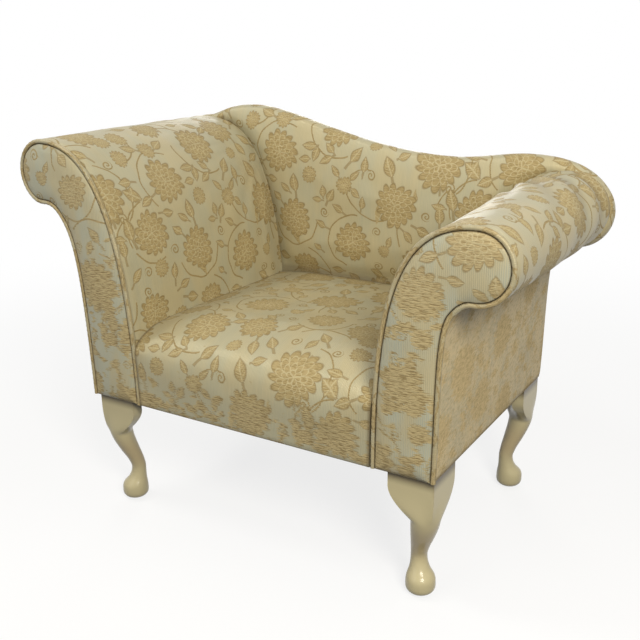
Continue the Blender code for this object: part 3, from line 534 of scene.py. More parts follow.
def damaskCloth(name):
    kind = {**damaskLook, **clothKinds[name]}
    ground, raggedFrom = kind["ground"], kind["raggedFrom"]
    material, n = newFinish(name)

    def grain(x, y, size, *detail):
        return n.noise(n.combine(x * kind[size][0], y * kind[size][1]), 1.0, *detail, "2D")

    def patchy(at, size):
        return n.noise(n.vector("MULTIPLY", at, kind[size]), 1.0, 2.0, 0.5, "2D")

    cloth = n.out("UVMap", uv_map="cloth")
    across, up, _ = n.split(cloth)
    slubs = grain(across, up, "slubGrain", 2.0, 0.6)
    stray = (slubs - 0.5) * (4 * kind["ragged"])
    if raggedFrom:
        high = n.split(n.out("TexCoord", output="Object"))[2]
        low = n.ramp(high, raggedFrom[1], raggedFrom[0])
        stray = stray * low.line(0.9, 0.1)
    strayed = n.combine(across + stray, up)
    whole, veins, outline = n.outs("Group", strayed, node_tree=floralMotif)
    if raggedFrom:
        patches = low.line(0.2, patchy(strayed, "patchGrain"))
        whole = n.most(whole, n.ramp(patches, kind["patches"], kind["patches"] + 0.05))

    # satin ground: fine upright ribs with slow change of tone
    rib = n.math("SINE", across * (tau / kind["ribPitch"]))
    tone = rib * kind["ribs"] + grain(across, up, "streakGrain", 2.0, 0.6).line(1.2, -0.25)
    clouds = n.ramp(patchy(cloth, "cloudGrain"), 0.32, 0.68)
    cool = clouds.line(kind["clouds"], kind["cool"] - kind["clouds"] / 2, clamp=True)
    # painted cool sheen: low down, on the seat's front border, the satin takes more of its cool tone
    if "paintedCoolSheen" in kind:
        cool = n.most(cool, low * kind["paintedCoolSheen"])
    satin = n.mix(cool, ground, kind["satinCool"])
    satin = n.mix(n.math("MULTIPLY", tone, 0.45, clamp=True), satin, shaded(ground, 1.25))

    # raised figure: thick level threads, lit on their tops and shaded between them in paint, with pale veins
    # between petals
    threads = n.ramp(slubs, 0.38, 0.53) * 0.9
    raised = n.mix(threads, *kind["gold"])
    if raggedFrom:
        raised = n.mix(low, raised, n.mix(threads, *kind["lowGold"]))
        veins = veins * low.line(-0.7, 1.0)
        outline = outline * low.line(-0.6, 1.0)
    raised = n.mix(veins * kind["veins"], raised, shaded(ground, 1.12))
    color = n.mix(outline * kind["rim"], n.mix(whole, satin, raised), kind["edge"])
    if kind["flecks"]:
        fleck = grain(up.line(0.4, across), across.line(-0.4, up), "fleckGrain", 3.0, 0.7)
        for none, full, tone in kind["fleckTones"]:
            color = n.mix(n.ramp(fleck, none, full) * kind["flecks"], color, tone)
    # painted shade: the cloth turns dark brown in creases, fold grooves and along seams, where shade falls
    paintedShade = n.out("Attribute", output="Fac", attribute_name="paintedShade")
    color = n.mix(paintedShade * kind["creaseShade"], color, kind["seam"])
    roughness = n.mix(whole, kind["satinRoughness"], kind["goldRoughness"], "FLOAT")

    # the cloth is pulled a little unevenly over its padding
    soft = n.bump(n.noise(cloth, kind["padWaves"], 1.0, 0.5, "2D"), 0.5, kind["padRelief"])
    weave = n.noise(cloth, kind["weaveGrain"], 1.0, 0.5, "2D")
    fine = n.bump(weave.line(0.8, rib), 0.6, kind["ribRelief"], Normal=soft)
    thick = n.bump(slubs, 0.8, kind["threadRelief"], Normal=soft)
    n.surface({
        "Base Color": color,
        "Roughness": n.most(roughness, paintedShade),
        "Normal": n.mix(whole, fine, thick, "VECTOR"),
        "Tangent": n.out("Tangent", direction_type="UV_MAP", uv_map="cloth"),
        "Anisotropic": kind["anisotropy"],
        "Specular IOR Level": kind["specular"],
        "Specular Tint": kind["shine"],
        "Sheen Weight": kind["sheen"],
        "Sheen Roughness": 0.4,
        "Sheen Tint": kind["sheenTint"],
    })
    return material


legPaint = {
    "cream": ((0.520, 0.455, 0.270), (0.560, 0.500, 0.310)),
    "worn": (0.360, 0.290, 0.150),
    "shankBrown": (0.380, 0.270, 0.150),
    "shankBrownUp": (0.060, 0.105),  # heights over which the shank's browner band comes and goes
    "shankBrownDown": (0.180, 0.125),
    # dark joint under the rail, with painted shade fading down the leg's top beneath it
    "jointAndRailShade": (0.070, 0.048, 0.020),
    "jointAndRailShadeUp": (0.238, 0.262),
    "scuffed": 0.030,  # height of the scuffs on the feet
    "roughness": 0.34,
    "coat": 0.35,
}


def creamPaint():
    look = legPaint
    material, n = newFinish("creamLegPaint")
    place = n.out("TexCoord", output="Object")
    strokes = n.noise(n.vector("MULTIPLY", place, (160, 160, 22)), 1.0, 3.0, 0.6)
    mottle = n.noise(place, 24.0, 2.0, 0.6)
    edges = n.out("NewGeometry", output="Pointiness")
    high = n.split(place)[2]
    wear = n.ramp(edges, 0.53, 0.60) * n.ramp(mottle, 0.42, 0.62) * 0.5
    wear = n.most(wear, n.ramp(high, look["scuffed"], 0.0) * n.ramp(mottle, 0.3, 0.7, 0.0, 0.4))
    shank = n.ramp(high, *look["shankBrownUp"]) * n.ramp(high, *look["shankBrownDown"])
    cream = n.mix(shank * 0.45, n.mix(mottle * 0.35, *look["cream"]), look["shankBrown"])
    # the joint's dark line and painted shade, from just under the rail down the leg's top
    underRail = n.ramp(high, *look["jointAndRailShadeUp"], 0.0, 0.92)
    n.surface({
        "Base Color": n.mix(underRail, n.mix(wear, cream, look["worn"]), look["jointAndRailShade"]),
        "Roughness": strokes.line(0.10, look["roughness"] - 0.05),
        "Normal": n.bump(strokes, 0.10, 0.0002),
        "Specular IOR Level": 0.2,
        "Coat Weight": look["coat"],
        "Coat Roughness": 0.10,
    })
    return material


def hardwood():
    material, n = newFinish("frameHardwood")
    place = n.out("TexCoord", output="Object")
    rings = n.noise(n.vector("MULTIPLY", place, (60, 9, 60)), 1.0, 4.0, 0.6)
    pores = n.noise(n.vector("MULTIPLY", place, (700, 60, 700)), 1.0, 1.0, 0.5)
    wood = n.mix(n.ramp(rings, 0.35, 0.65), (0.50, 0.33, 0.18), (0.62, 0.45, 0.27))
    n.surface({
        "Base Color": n.mix(n.ramp(pores, 0.62, 0.75), wood, (0.30, 0.19, 0.10)),
        "Roughness": rings.line(0.2, 0.5),
        "Normal": n.bump(pores, 0.2, 0.0005),
    })
    return material


def wovenCloth(name, dark, light, pitch, roughness):
    material, n = newFinish(name)
    place = n.out("TexCoord", output="Object")
    x, y, z = n.split(n.scaled(place, tau / pitch))
    over = (n.math("SINE", y + z) * n.math("SINE", x + z)).line(0.5, 0.5)
    fuzz = n.noise(place, 350.0, 2.0, 0.6)
    n.surface({
        "Base Color": n.mix(n.math("MULTIPLY", over, fuzz, clamp=True), dark, light),
        "Roughness": roughness,
        "Sheen Weight": 0.1,
        "Normal": n.bump(over, 0.6, pitch / 4),
    })
    return material


def plainSteel(name, color, roughness):
    material, n = newFinish(name)
    spangle = n.noise(n.out("TexCoord", output="Object"), 260.0, 3.0, 0.7)
    n.surface({
        "Base Color": n.mix(n.ramp(spangle, 0.35, 0.7), color, shaded(color, 0.7)),
        "Roughness": spangle.line(0.25, roughness - 0.1),
        "Metallic": 1.0,
    })
    return material


floralMotif = floralFigure()
panelDamask, seatDamask, faceDamask, outsideDamask, pipingDamask = (damaskCloth(name) for name in clothKinds)
legFinish = creamPaint()
woodFinish = hardwood()
hessianCloth = wovenCloth("hessianCloth", (0.20, 0.14, 0.07), (0.48, 0.36, 0.21), 0.0022, 0.95)
liningCloth = wovenCloth("liningCloth", (0.012, 0.012, 0.012), (0.05, 0.05, 0.05), 0.0012, 0.9)
springFinish = plainSteel("springFinish", (0.35, 0.35, 0.36), 0.4)
zincFinish = plainSteel("zincFinish", (0.62, 0.62, 0.60), 0.42)
print("materials made")


# Line of an arm: from the outer foot, under and over the roll, down to the inner foot

arms = {
    "left": {
        "side": -1, "rollOut": 0.0945, "rollHeight": 0.741, "rollRadius": 0.0657, "rollSwell": -0.001,
        "hookAngle": -59, "hookIn": 0.88, "hookOut": 0.41, "neck": 0.17, "waist": 0.59,
        "flare": 0.73, "stem": 0.64, "footSpread": 0.006, "facingReach": 0.125,
        "rimSwell": 0.004, "rimDrop": 0.0, "rimShift": 0.0,
    },
    "right": {
        "side": 1, "rollOut": 0.0625, "rollHeight": 0.663, "rollRadius": 0.0632, "rollSwell": 0.005,
        "hookAngle": -93, "hookIn": 0.25, "hookOut": 0.25, "neck": 0.13, "waist": 0.45,
        "flare": 0.80, "stem": 0.66, "footSpread": 0.0, "facingReach": 0.119,
        "rimSwell": 0.0145, "rimDrop": 0.011, "rimShift": 0.003,
    },
}


def layOutArm(arm):
    radius, base = arm["rollRadius"], chair["baseHeight"]
    foot = halfWidth + arm["footSpread"]
    innerFoot = foot - arm["facingReach"]
    roll = np.array((halfWidth + arm["rollOut"], arm["rollHeight"]))
    neckLean, hookAngle = radians(34), radians(arm["hookAngle"])
    lean = np.array((sin(neckLean), cos(neckLean)))
    neck = roll + radius * np.array((-0.65, -1.41))
    rise = neck[1] - base
    hook = roll + radius * np.array((cos(hookAngle), sin(hookAngle)))
    hookWay = np.array((-sin(hookAngle), cos(hookAngle)))
    knee = (foot + 0.006, base + arm["waist"] * rise)
    outer = bezier((foot, base), knee, neck - lean * (arm["neck"] * rise), neck, 36)
    pulls = neck + lean * (arm["hookIn"] * radius), hook - hookWay * (arm["hookOut"] * radius)
    hooked = bezier(neck, *pulls, hook, 16)
    turns = np.linspace(hookAngle, pi / 2, 41)[1:]
    rolled = roll + radius * np.stack([np.cos(turns), np.sin(turns)], 1)
    top = (roll[0], roll[1] + radius)
    flare = (top[0] - arm["flare"] * (roll[0] - innerFoot), top[1])
    stem = (innerFoot, base + arm["stem"] * (top[1] - base))
    inner = bezier(top, flare, stem, (innerFoot, base), 56)
    line = np.vstack([[(foot, base)], outer, hooked, rolled, inner])
    out = sideways(line)
    out[0], out[-1] = (1, 0), (-1, 0)
    index = np.arange(len(line))
    hookIndex = len(outer) + len(hooked)
    topIndex = hookIndex + len(rolled)
    arm.update(
        rollX=roll[0], line=line, out=out, hookIndex=hookIndex, topIndex=topIndex,
        hookBlend=smooth((index - len(outer)) / len(hooked)),
        innerBlend=smooth((index - topIndex) / (len(inner) * 5 / 14)),
    )


def offsetLine(arm, distance):
    return arm["line"] + arm["out"] * np.reshape(distance, (-1, 1))


def rimLine(arm, inset):
    # the rim of the back, round an arm
    outer, rim, blend = -chair["outerInset"], arm["rimSwell"] - inset, arm["hookBlend"]
    moved = offsetLine(arm, outer + (rim - outer) * blend)
    return moved - np.stack([arm["rimShift"] * blend, arm["rimDrop"] * blend], 1)


def innerAt(arm, distance, z):
    # x of the inner side at one height, on the arm's own side of the chair
    line = offsetLine(arm, distance)[arm["topIndex"]:][::-1]
    return arm["side"] * np.interp(z, line[:, 1], line[:, 0])


def standing(arm, line, out, far, depth):
    # points that stand off a line of the arm, at one depth
    return [(arm["side"] * x, depth, z) for x, z in line + out * np.reshape(far, (-1, 1))]


for arm in arms.values():
    layOutArm(arm)
highArm, lowArm = arms["left"], arms["right"]


# Arm covers: over the roll and down the inner side, tucked in under the piping

armCover = {
    "puff": 0.0025, "tuck": 0.0055, "tuckReach": 0.013, "thickness": 0.020,
    "unevenness": 0.0009, "unevenSize": 0.16, "seed": {"left": 12, "right": 11},
    "edgeReach": 0.05, "seamReach": 0.005, "fill": 0.8, "give": 0.003,
    "flatBelow": 0.44, "flatReach": 0.05,  # the seat presses on it below this height
    # how the cloth lies: way across and its starting point
    "cloth": {"left": (1, -0.452, 0.286), "right": (-1, 0.678, 0.123)},
    # folds that fan out from where the arm meets the back: height, how many in a turn, how far
    "gathers": {"left": 0.0010, "right": 0.0040}, "gatherCount": 150, "gatherReach": 0.52,
    "grooveShade": 110,  # how fast a fold's painted shade deepens with its depth in metres
}


def gathered(depth, along, rear, start, height):
    away = hypot(rear - depth, along - start)
    turn = atan2(along - start, rear - depth)
    fan = sin(turn * armCover["gatherCount"] / tau + 2.1 * sin(3 * turn) + 5 * away)
    fading = 1 - smooth((away - 0.10) / (armCover["gatherReach"] - 0.10))
    return height * fan * float(smooth(away / 0.07) * fading)


def buildArmCover(word, arm):
    front, rear = chair["boardFront"], chair["padFront"] - chair["gap"]
    tuckReach = armCover["tuckReach"]
    turned = front + tuckReach * np.array([0, 0.05, 0.15, 0.3, 0.5, 0.75])
    depths = np.concatenate([turned, np.linspace(front + tuckReach, rear, 64)])
    keep = (np.arange(len(arm["line"])) >= arm["hookIndex"]) & (arm["line"][:, 1] > chair["deckHeight"])
    line, out, innerBlend = (arm[key][keep] for key in ("line", "out", "innerBlend"))
    rows, columns = len(depths), len(line)
    above = smooth((line[:, 1] - armCover["flatBelow"]) / armCover["flatReach"])
    sides = lengthAlong(arm["line"])
    sides = (sides[-1] - sides)[keep]
    way, uStart, vStart = armCover["cloth"][word]
    half = columns // 2
    gatherStart = float(np.interp(arm["rollHeight"], line[::-1, 1][:half], sides[::-1][:half]))
    points, uvs, grooves = [], [], []
    for depth in depths:
        t = (depth - front) / (rear - front)
        tuck = armCover["tuck"] * (1 - rounded((depth - front) / tuckReach))
        swell = t * (arm["rollSwell"] + (chair["innerSwell"] - arm["rollSwell"]) * innerBlend)
        puff = armCover["puff"] * sin(pi * t) ** 0.7 * above
        folds = np.array([gathered(depth, s, rear, gatherStart, armCover["gathers"][word]) for s in sides])
        points += standing(arm, line, out, chair["padProud"] + swell + puff - tuck + folds, depth)
        # painted shade in the grooves of the folds, darker the deeper they sink
        grooves.extend(np.maximum(-folds, 0) * armCover["grooveShade"])
        uvs += [(way * depth + uStart, s + vStart) for s in sides]
    points = np.array(points)
    lift = wander(points, armCover["unevenSize"], armCover["unevenness"], armCover["seed"][word])
    ways = np.tile(np.stack([arm["side"] * out[:, 0], np.zeros(columns), out[:, 1]], 1), (rows, 1))
    toEnds = np.minimum(depths - front, rear - depths) / armCover["edgeReach"]
    points += ways * (lift * np.repeat(smooth(toEnds), columns))[:, None]
    first = rows * columns
    for depth in (front, rear):
        points = np.vstack([points, standing(arm, line, out, -armCover["thickness"], depth)])
    uvs += [(0, 0)] * (2 * columns)
    seams = np.ones(len(points))
    # painted shade along the front edge, where the cover tucks in under the piping
    atFront = 0.5 * (1 - smooth((depths - front) / armCover["seamReach"]))
    seams[:first] = np.maximum(np.repeat(atFront, columns), grooves)
    piece = makePiece(
        "armCover_" + word, points, shellFaces(rows, columns), uvs,
        panelDamask, "damask", "arm_padding_" + word, armCover["fill"], seams,
    )
    toSides = np.minimum(sides - sides.min(), sides.max() - sides) / armCover["edgeReach"]
    held = np.ones(len(points))
    held[:first] = 1 - smooth(np.minimum(toEnds[:, None], toSides[None, :])).ravel()
    plump(piece, held, armCover["give"])


for word, arm in arms.items():
    buildArmCover(word, arm)
print("arm covers made")


# Outside panels, from under the roll to the bottom edge

outsidePanel = {
    "proud": 0.0025, "thickness": 0.0045, "puff": 0.0016, "turnIn": 0.002, "turnReach": 0.004,
    "footTurn": 0.0015, "footReach": 0.006, "seamShade": 0.75, "seamReach": 0.006, "cloth": (0.05, 0.13),
}


def buildOutsidePanel(word, arm):
    look = outsidePanel
    line, out = (arm[key][: arm["hookIndex"] + 1] for key in ("line", "out"))
    front, rear = chair["boardFront"], chair["backRear"]
    turned, ending = np.array([0, 0.0008, 0.002, 0.004]), np.array([0.002, 0.0006, 0])
    depths = np.concatenate([front + turned, np.linspace(front + 0.008, rear - 0.004, 48), rear - ending])
    rows, columns = len(depths), len(line)
    sides = lengthAlong(line)
    high = sides[-1]
    foot = look["footTurn"] * (1 - np.minimum(sides / look["footReach"], 1)) ** 2
    toEnds = np.minimum(depths - front, rear - depths)
    points, uvs = [], []
    for depth, edge in zip(depths, toEnds):
        t = (depth - front) / (rear - front)
        turn = look["turnIn"] * (1 - rounded(edge / look["turnReach"]))
        puff = look["puff"] * sin(pi * t) * np.sin(pi * np.minimum(sides / high, 1))
        points += standing(arm, line, out, look["proud"] - turn - foot + (puff - 0.0005), depth)
        uvs += [(arm["side"] * depth + look["cloth"][0], s + look["cloth"][1]) for s in sides]
    for depth in (front, rear):
        points += standing(arm, line, out, look["proud"] - look["thickness"], depth)
    uvs += [(0, 0)] * (2 * columns)
    # painted shade round the panel's edges, where it turns in at its seams
    toEdge = np.minimum(toEnds[:, None] * 1.5, np.minimum(high - sides, sides * 2)[None, :])
    seams = np.ones(len(points))
    seams[: rows * columns] = look["seamShade"] * (1 - smooth(toEdge / look["seamReach"])).ravel()
    makePiece(
        "outsideArm_" + word, points, shellFaces(rows, columns), uvs,
        outsideDamask, "damask", "outside_arm_" + word, None, seams,
    )


for word, arm in arms.items():
    buildOutsidePanel(word, arm)
print("outside arm panels made")


# Flat panels with a shaped outline: a fine net of triangles, its depth set by a function


def insideLine(spots, ring):
    x, y = spots.T[:, :, None]
    (x0, y0), (x1, y1) = ring.T, np.roll(ring, -1, axis=0).T
    height = np.where(y1 == y0, 1e-12, y1 - y0)
    crossing = ((y0 > y) != (y1 > y)) & (x < (x1 - x0) * (y - y0) / height + x0)
    return crossing.sum(1) % 2 == 1


def reachFrom(spots, ring):
    # distance of each spot from a closed line
    run = np.roll(ring, -1, axis=0) - ring
    squared = np.maximum((run**2).sum(1), 1e-14)
    best = np.full(len(spots), 9.0)
    for start, way, size in zip(ring, run, squared):
        t = np.clip(((spots - start) @ way) / size, 0, 1)
        best = np.minimum(best, np.linalg.norm(spots - start - t[:, None] * way, axis=1))
    return best


def fillNet(ring, spacing, inner=()):
    # spots and triangles inside a closed line: its own points first, then rows that follow it
    low, high = ring.min(0), ring.max(0)
    xs = np.arange(low[0] + spacing / 2, high[0], spacing)
    zs = np.arange(low[1] + spacing / 2, high[1], spacing * 0.866)
    spots = np.array([(x + (row % 2) * spacing / 2, z) for row, z in enumerate(zs) for x in xs])
    spots = spots[insideLine(spots, ring)]
    spots = spots[reachFrom(spots, inner[-1] if len(inner) else ring) > spacing * 0.45]
    if len(inner):
        spots = spots[insideLine(spots, inner[-1])]
        spots = np.vstack([*inner, spots])
    every = [Vector(spot) for spot in (*ring, *spots)]
    _, _, triangles, sources, _, _ = delaunay_2d_cdt(every, [], [list(range(len(ring)))], 1, 1e-7)
    return np.array([every[source[0]] for source in sources]), triangles


def backedPanel(net, count, depth, rear):
    # a net with a flat rear, joined to the points of its edge: points, faces, spot of each point
    place, triangles = net
    first = len(place)
    spots = np.vstack([place, place[:count]])
    points = np.insert(spots, 1, np.concatenate([depth, np.full(count, rear)]), axis=1)
    faces = [tuple(t) for t in triangles]
    for a in range(count):
        b = (a + 1) % count
        faces.append((a, b, first + b, first + a))
    faces.append(range(first, first + count))
    return points, faces, spots


# Arm facings: a padded panel inside the piping

facing = {
    "inset": 0.0053, "rows": (0.0008, 0.0018, 0.0036), "rowStep": 0.003, "net": 0.006, "depth": 0.010,
    "sunk": 0.0036, "roundReach": 0.020, "crown": 0.0050, "crownReach": 0.052,
    "pulls": 0.00024, "pullWays": (210, 160), "seamReach": 0.0016, "footReach": 0.004, "fill": 0.55,
    "cloth": {"left": (0.525, 0.209), "right": (-0.715, 0.030)},
}


def buildFacing(word, arm):
    rows = []
    for inset in (0, *facing["rows"]):
        row = offsetLine(arm, -facing["inset"] - inset)
        row[0, 1] = row[-1, 1] = chair["baseHeight"] + inset
        rows.append(evenLine(row * (arm["side"], 1), facing["rowStep"])[0])
    net = fillNet(rows[0], facing["net"], rows[1:])
    place = net[0]
    reach = reachFrom(place, rows[0])
    swell = rounded(reach / facing["roundReach"])
    crowned = 1 - (1 - np.clip(reach / facing["crownReach"], 0, 1)) ** 2
    depth = facing["sunk"] * (1 - swell) - facing["crown"] * crowned
    depth += facing["pulls"] * np.sin(place @ np.array(facing["pullWays"])) * (1 - swell)
    points, faces, spots = backedPanel(net, len(rows[0]), depth, facing["depth"])
    # painted shade along the facing's edge beside the piping, half as dark at its foot
    seams = np.ones(len(points))
    seams[: len(place)] = 1 - smooth(reach / facing["seamReach"])
    seams[: len(place)][place[:, 1] < chair["baseHeight"] + facing["footReach"]] *= 0.5
    makePiece(
        "armFacing_" + word, points, faces, spots + facing["cloth"][word],
        faceDamask, "facing_damask", "front_facing_" + word, facing["fill"], seams,
    )


for word, arm in arms.items():
    buildFacing(word, arm)
print("arm facings made")


# Piping round each facing

piping = {"radius": 0.0047, "sides": 18, "step": 0.004, "twist": 0.00025, "twistPitch": 0.011}


def buildPiping(word, arm):
    centre, marks = evenLine(arm["line"], piping["step"])
    out = sideways(centre)
    out[0], out[-1] = (1, 0), (-1, 0)
    points, uvs, seams = [], [], []
    sides = piping["sides"]
    for spot, way, mark in zip(centre, out, marks):
        reach = piping["radius"] + piping["twist"] * sin(mark * tau / piping["twistPitch"])
        for corner in range(sides):
            turn = tau * corner / sides
            # drawn a little towards the seam behind
            behind = reach * sin(turn) * (1.05 if sin(turn) > 0 else 1)
            x, z = spot + way * (reach * cos(turn))
            points.append((arm["side"] * x, chair["pipingRadius"] + behind, z))
            uvs.append((mark, turn * reach))
            # painted shade on the piping's side next to the facing, and half as much on its back
            seams.append(max(smooth((-cos(turn) - 0.65) / 0.3), 0.5 * smooth((sin(turn) - 0.4) / 0.6)))
    faces = gridFaces(len(marks), sides, closed=True)
    faces += [tuple(range(sides)), tuple(range(len(points) - sides, len(points)))]
    makePiece(
        "facingPiping_" + word, points, faces, uvs,
        pipingDamask, "facing_damask", "facing_piping_" + word, None, seams,
    )


for word, arm in arms.items():
    buildPiping(word, arm)
print("piping made")


# Tight seat: one cover from the bottom edge over the front roll to the back

seat = {
    "crown": 0.020, "rollDepth": 0.120, "rollDrop": 0.0498, "fade": 0.055, "sink": 0.6,
    "columns": 92, "border": 0.0183, "borderSwell": 0.0016, "unevenness": 0.0012, "unevenSize": 0.13,
    "seed": 5, "fill": 0.75, "give": 0.004, "seamShade": 0.8, "seamReach": 0.008, "cloth": (0.047, 0.584),
}


def seatSpan(y, z):
    # x of the arms' inner sides where the seat meets them
    rear = chair["padFront"] - 2 * chair["gap"]
    deep = np.clip((y - chair["boardFront"]) / (rear - chair["boardFront"]), 0, 1)
    far = chair["pipingRadius"] + 2 * chair["gap"] + deep * chair["innerSwell"]
    return [innerAt(arm, far, z) for arm in (highArm, lowArm)]


def buildSeat():
    base, high, rear = chair["baseHeight"], chair["seatHeight"], chair["padFront"] - 2 * chair["gap"]
    rollDepth, rollDrop = seat["rollDepth"], seat["rollDrop"]
    roll = high - rollDrop
    outer = [(0.0022, base), (0.0004, base + 0.004)]
    outer += [(0, z) for z in np.linspace(base + 0.012, roll, 16)]
    for turn in np.linspace(0, pi / 2, 25)[1:]:
        outer.append((rollDepth * (1 - cos(turn)), roll + rollDrop * sin(turn)))
    outer += [(y, high) for y in np.linspace(rollDepth, rear, 50)[1:]]
    outer = np.array(outer)
    run = lengthAlong(outer)
    evens = [column / seat["columns"] for column in range(seat["columns"] + 1)]
    shares = [(even + (1 - cos(pi * even)) / 2) / 2 for even in evens]
    points, uvs, toEdge = [], [], []
    for (y, z), s in zip(outer, run):
        left, right = seatSpan(y, z)
        sinking = 1 - seat["sink"] * smooth((y - rollDepth) / (rear - rollDepth))
        for share in shares:
            x = left + (right - left) * share
            toSide = min(share, 1 - share) * (right - left)
            full = sin(min(toSide / (2 * seat["fade"]), 1) * pi / 2)
            lift = seat["crown"] * smooth(y / rollDepth) * full * sinking
            # the border swells a little between the facings
            swell = seat["borderSwell"] * full * smooth((z - base) / 0.05) * (1 - smooth(y / 0.06))
            points.append((x, y - swell, z + lift))
            uvs.append((x + seat["cloth"][0], s + seat["cloth"][1]))
            toEdge.append(min(toSide, (run[-1] - s) * 0.5, s * 1.5))
    rows, columns = len(outer), len(shares)
    points = np.array(points)
    lift = wander(points, seat["unevenSize"], seat["unevenness"], seat["seed"])
    edge = smooth(np.minimum(np.arange(columns), columns - 1 - np.arange(columns)) / 8)
    along = smooth(np.minimum(run, run[-1] - run) / 0.08)
    free = (along[:, None] * edge[None, :]).ravel()
    points[:, 2] += lift * free
    first = rows * columns
    for y, z in ((seat["border"], base), (seat["border"], chair["deckHeight"]), (rear, chair["deckHeight"])):
        left, right = seatSpan(y, z)
        points = np.vstack([points, [(left + (right - left) * share, y, z) for share in shares]])
    uvs += [(0, 0)] * (3 * columns)
    # painted shade along the cover's edges, where it meets the arms and the back, and along its bottom
    seams = np.ones(len(points))
    seams[:first] = seat["seamShade"] * (1 - smooth(np.array(toEdge) / seat["seamReach"]))
    piece = makePiece(
        "seatCover", points, shellFaces(rows, columns, 3), uvs,
        seatDamask, "damask", "seat_padding", seat["fill"], seams,
    )
    held = np.ones(len(points))
    held[:first] = 1 - free
    plump(piece, held, seat["give"])


buildSeat()
print("seat made")


# Back: serpentine top, crown between the arms, rounded rim over the frame

back = {
    "peakPlace": 0.152, "dipPlace": 0.61, "humpPlace": 0.81,
    "peakRise": 0.033, "dipRise": 0.0195, "humpRise": 0.036,
    "rise": (0.22, 0.60), "fall": (0.22, 0.44), "dip": (0.34, 0.34), "end": (0.62, 0.60), "joinAngle": 35,
    "rimRound": 0.017, "rimRear": 0.011, "crown": 0.021, "fade": 0.055, "crestReach": 0.13, "net": 0.010,
    "unevenness": 0.0010, "unevenSize": 0.15, "seed": 8, "fill": 0.7, "give": 0.003,
    "seatJoin": 0.442,  # height at which the seat meets it
    "seamShades": (0.3, 0.65), "seamReach": 0.016,  # painted shade where the back meets the arms and the seat, darker at the high arm
    "wrapStart": 0.004,
}


def serpentineTop():
    high, low = highArm, lowArm
    start = (-high["rollX"], high["rollHeight"] + high["rollRadius"] + high["rimSwell"])
    angle = radians(back["joinAngle"])
    rim = low["rollRadius"] + low["rimSwell"]
    end = np.array((
        low["rollX"] - low["rimShift"] + rim * cos(angle),
        low["rollHeight"] - low["rimDrop"] + rim * sin(angle),
    ))
    peakX = start[0] + back["peakPlace"] * (high["rollX"] + low["rollX"])
    peak = (peakX, high["rollHeight"] + high["rollRadius"] + back["peakRise"])
    lowTop = low["rollHeight"] + low["rollRadius"]
    dip = (peakX + (end[0] - peakX) * back["dipPlace"], lowTop + back["dipRise"])
    hump = (peakX + (end[0] - peakX) * back["humpPlace"], lowTop + back["humpRise"])
    line = [[start]]
    for near, far, stretch in ((start, peak, "rise"), (peak, dip, "fall"), (dip, hump, "dip")):
        leave, arrive = (pull * (far[0] - near[0]) for pull in back[stretch])
        line.append(bezier(near, (near[0] + leave, near[1]), (far[0] - arrive, far[1]), far, 30))
    leaving = (hump[0] + back["end"][0] * (end[0] - hump[0]), hump[1])
    ending = end - np.array((sin(angle), -cos(angle))) * (back["end"][1] * (hump[1] - end[1]))
    line.append(bezier(hump, leaving, ending, end, 30))
    return np.vstack(line)


topLine = serpentineTop()


def backOutline(inset):
    # from the low arm's foot, round its roll, along the top and down the high arm
    angles = np.arctan2(lowArm["line"][:, 1] - lowArm["rollHeight"], lowArm["line"][:, 0] - lowArm["rollX"])
    stop = lowArm["topIndex"]
    while angles[stop] >= radians(back["joinAngle"]) * 0.90:
        stop -= 1
    low = rimLine(lowArm, inset)[: stop + 1]
    crest = topLine[::-1] - sideways(topLine[::-1]) * inset
    high = rimLine(highArm, inset)[: highArm["topIndex"] + 1] * (-1, 1)
    return np.vstack([low, crest[:-1], high[::-1]])


def backCrown(x, z):
    # 0 at the arms, the seat and the crest, 1 in the middle of the back
    left, right = (innerAt(arm, chair["padProud"] + chair["innerSwell"], z) for arm in (highArm, lowArm))
    across = (x - left) / (right - left)
    crest = np.interp(x, topLine[:, 0], topLine[:, 1])
    sides = np.clip(np.minimum(across, 1 - across) * (right - left) / back["fade"], 0, 1)
    under = np.clip((z - chair["seatHeight"] - seat["crown"]) / back["fade"], 0, 1)
    # rounder towards the crest than at the seat
    rim, below = back["rimRound"] / back["crown"], crest - z
    over = (1 + rim) * rounded(below / back["crestReach"]) - rim * rounded(below / back["rimRound"])
    return np.sin(sides * pi / 2) * np.minimum(np.sin(under * pi / 2), np.clip(over, 0, 1))


def backRings():
    # the rim from the rear to the front: rounded at both, and flat on the deck below
    floor = chair["deckHeight"] + chair["gap"]
    rings = []
    for depth, radius, shares in (
        (chair["backRear"], -back["rimRear"], (1.0, 0.75, 0.5, 0.25, 0.0)),
        (chair["padFront"], back["rimRound"], (0.0, 0.2, 0.4, 0.6, 0.8, 1.0)),
    ):
        for share in shares:
            turn = pi / 2 * share
            ring = backOutline(abs(radius) * (1 - cos(turn)))
            ring[:, 1] = np.maximum(ring[:, 1], floor)
            above = np.where(ring[:, 1] > floor)[0]
            rings.append((depth + radius * (1 - sin(turn)), ring[above[0] - 1 : above[-1] + 2]))
    return rings


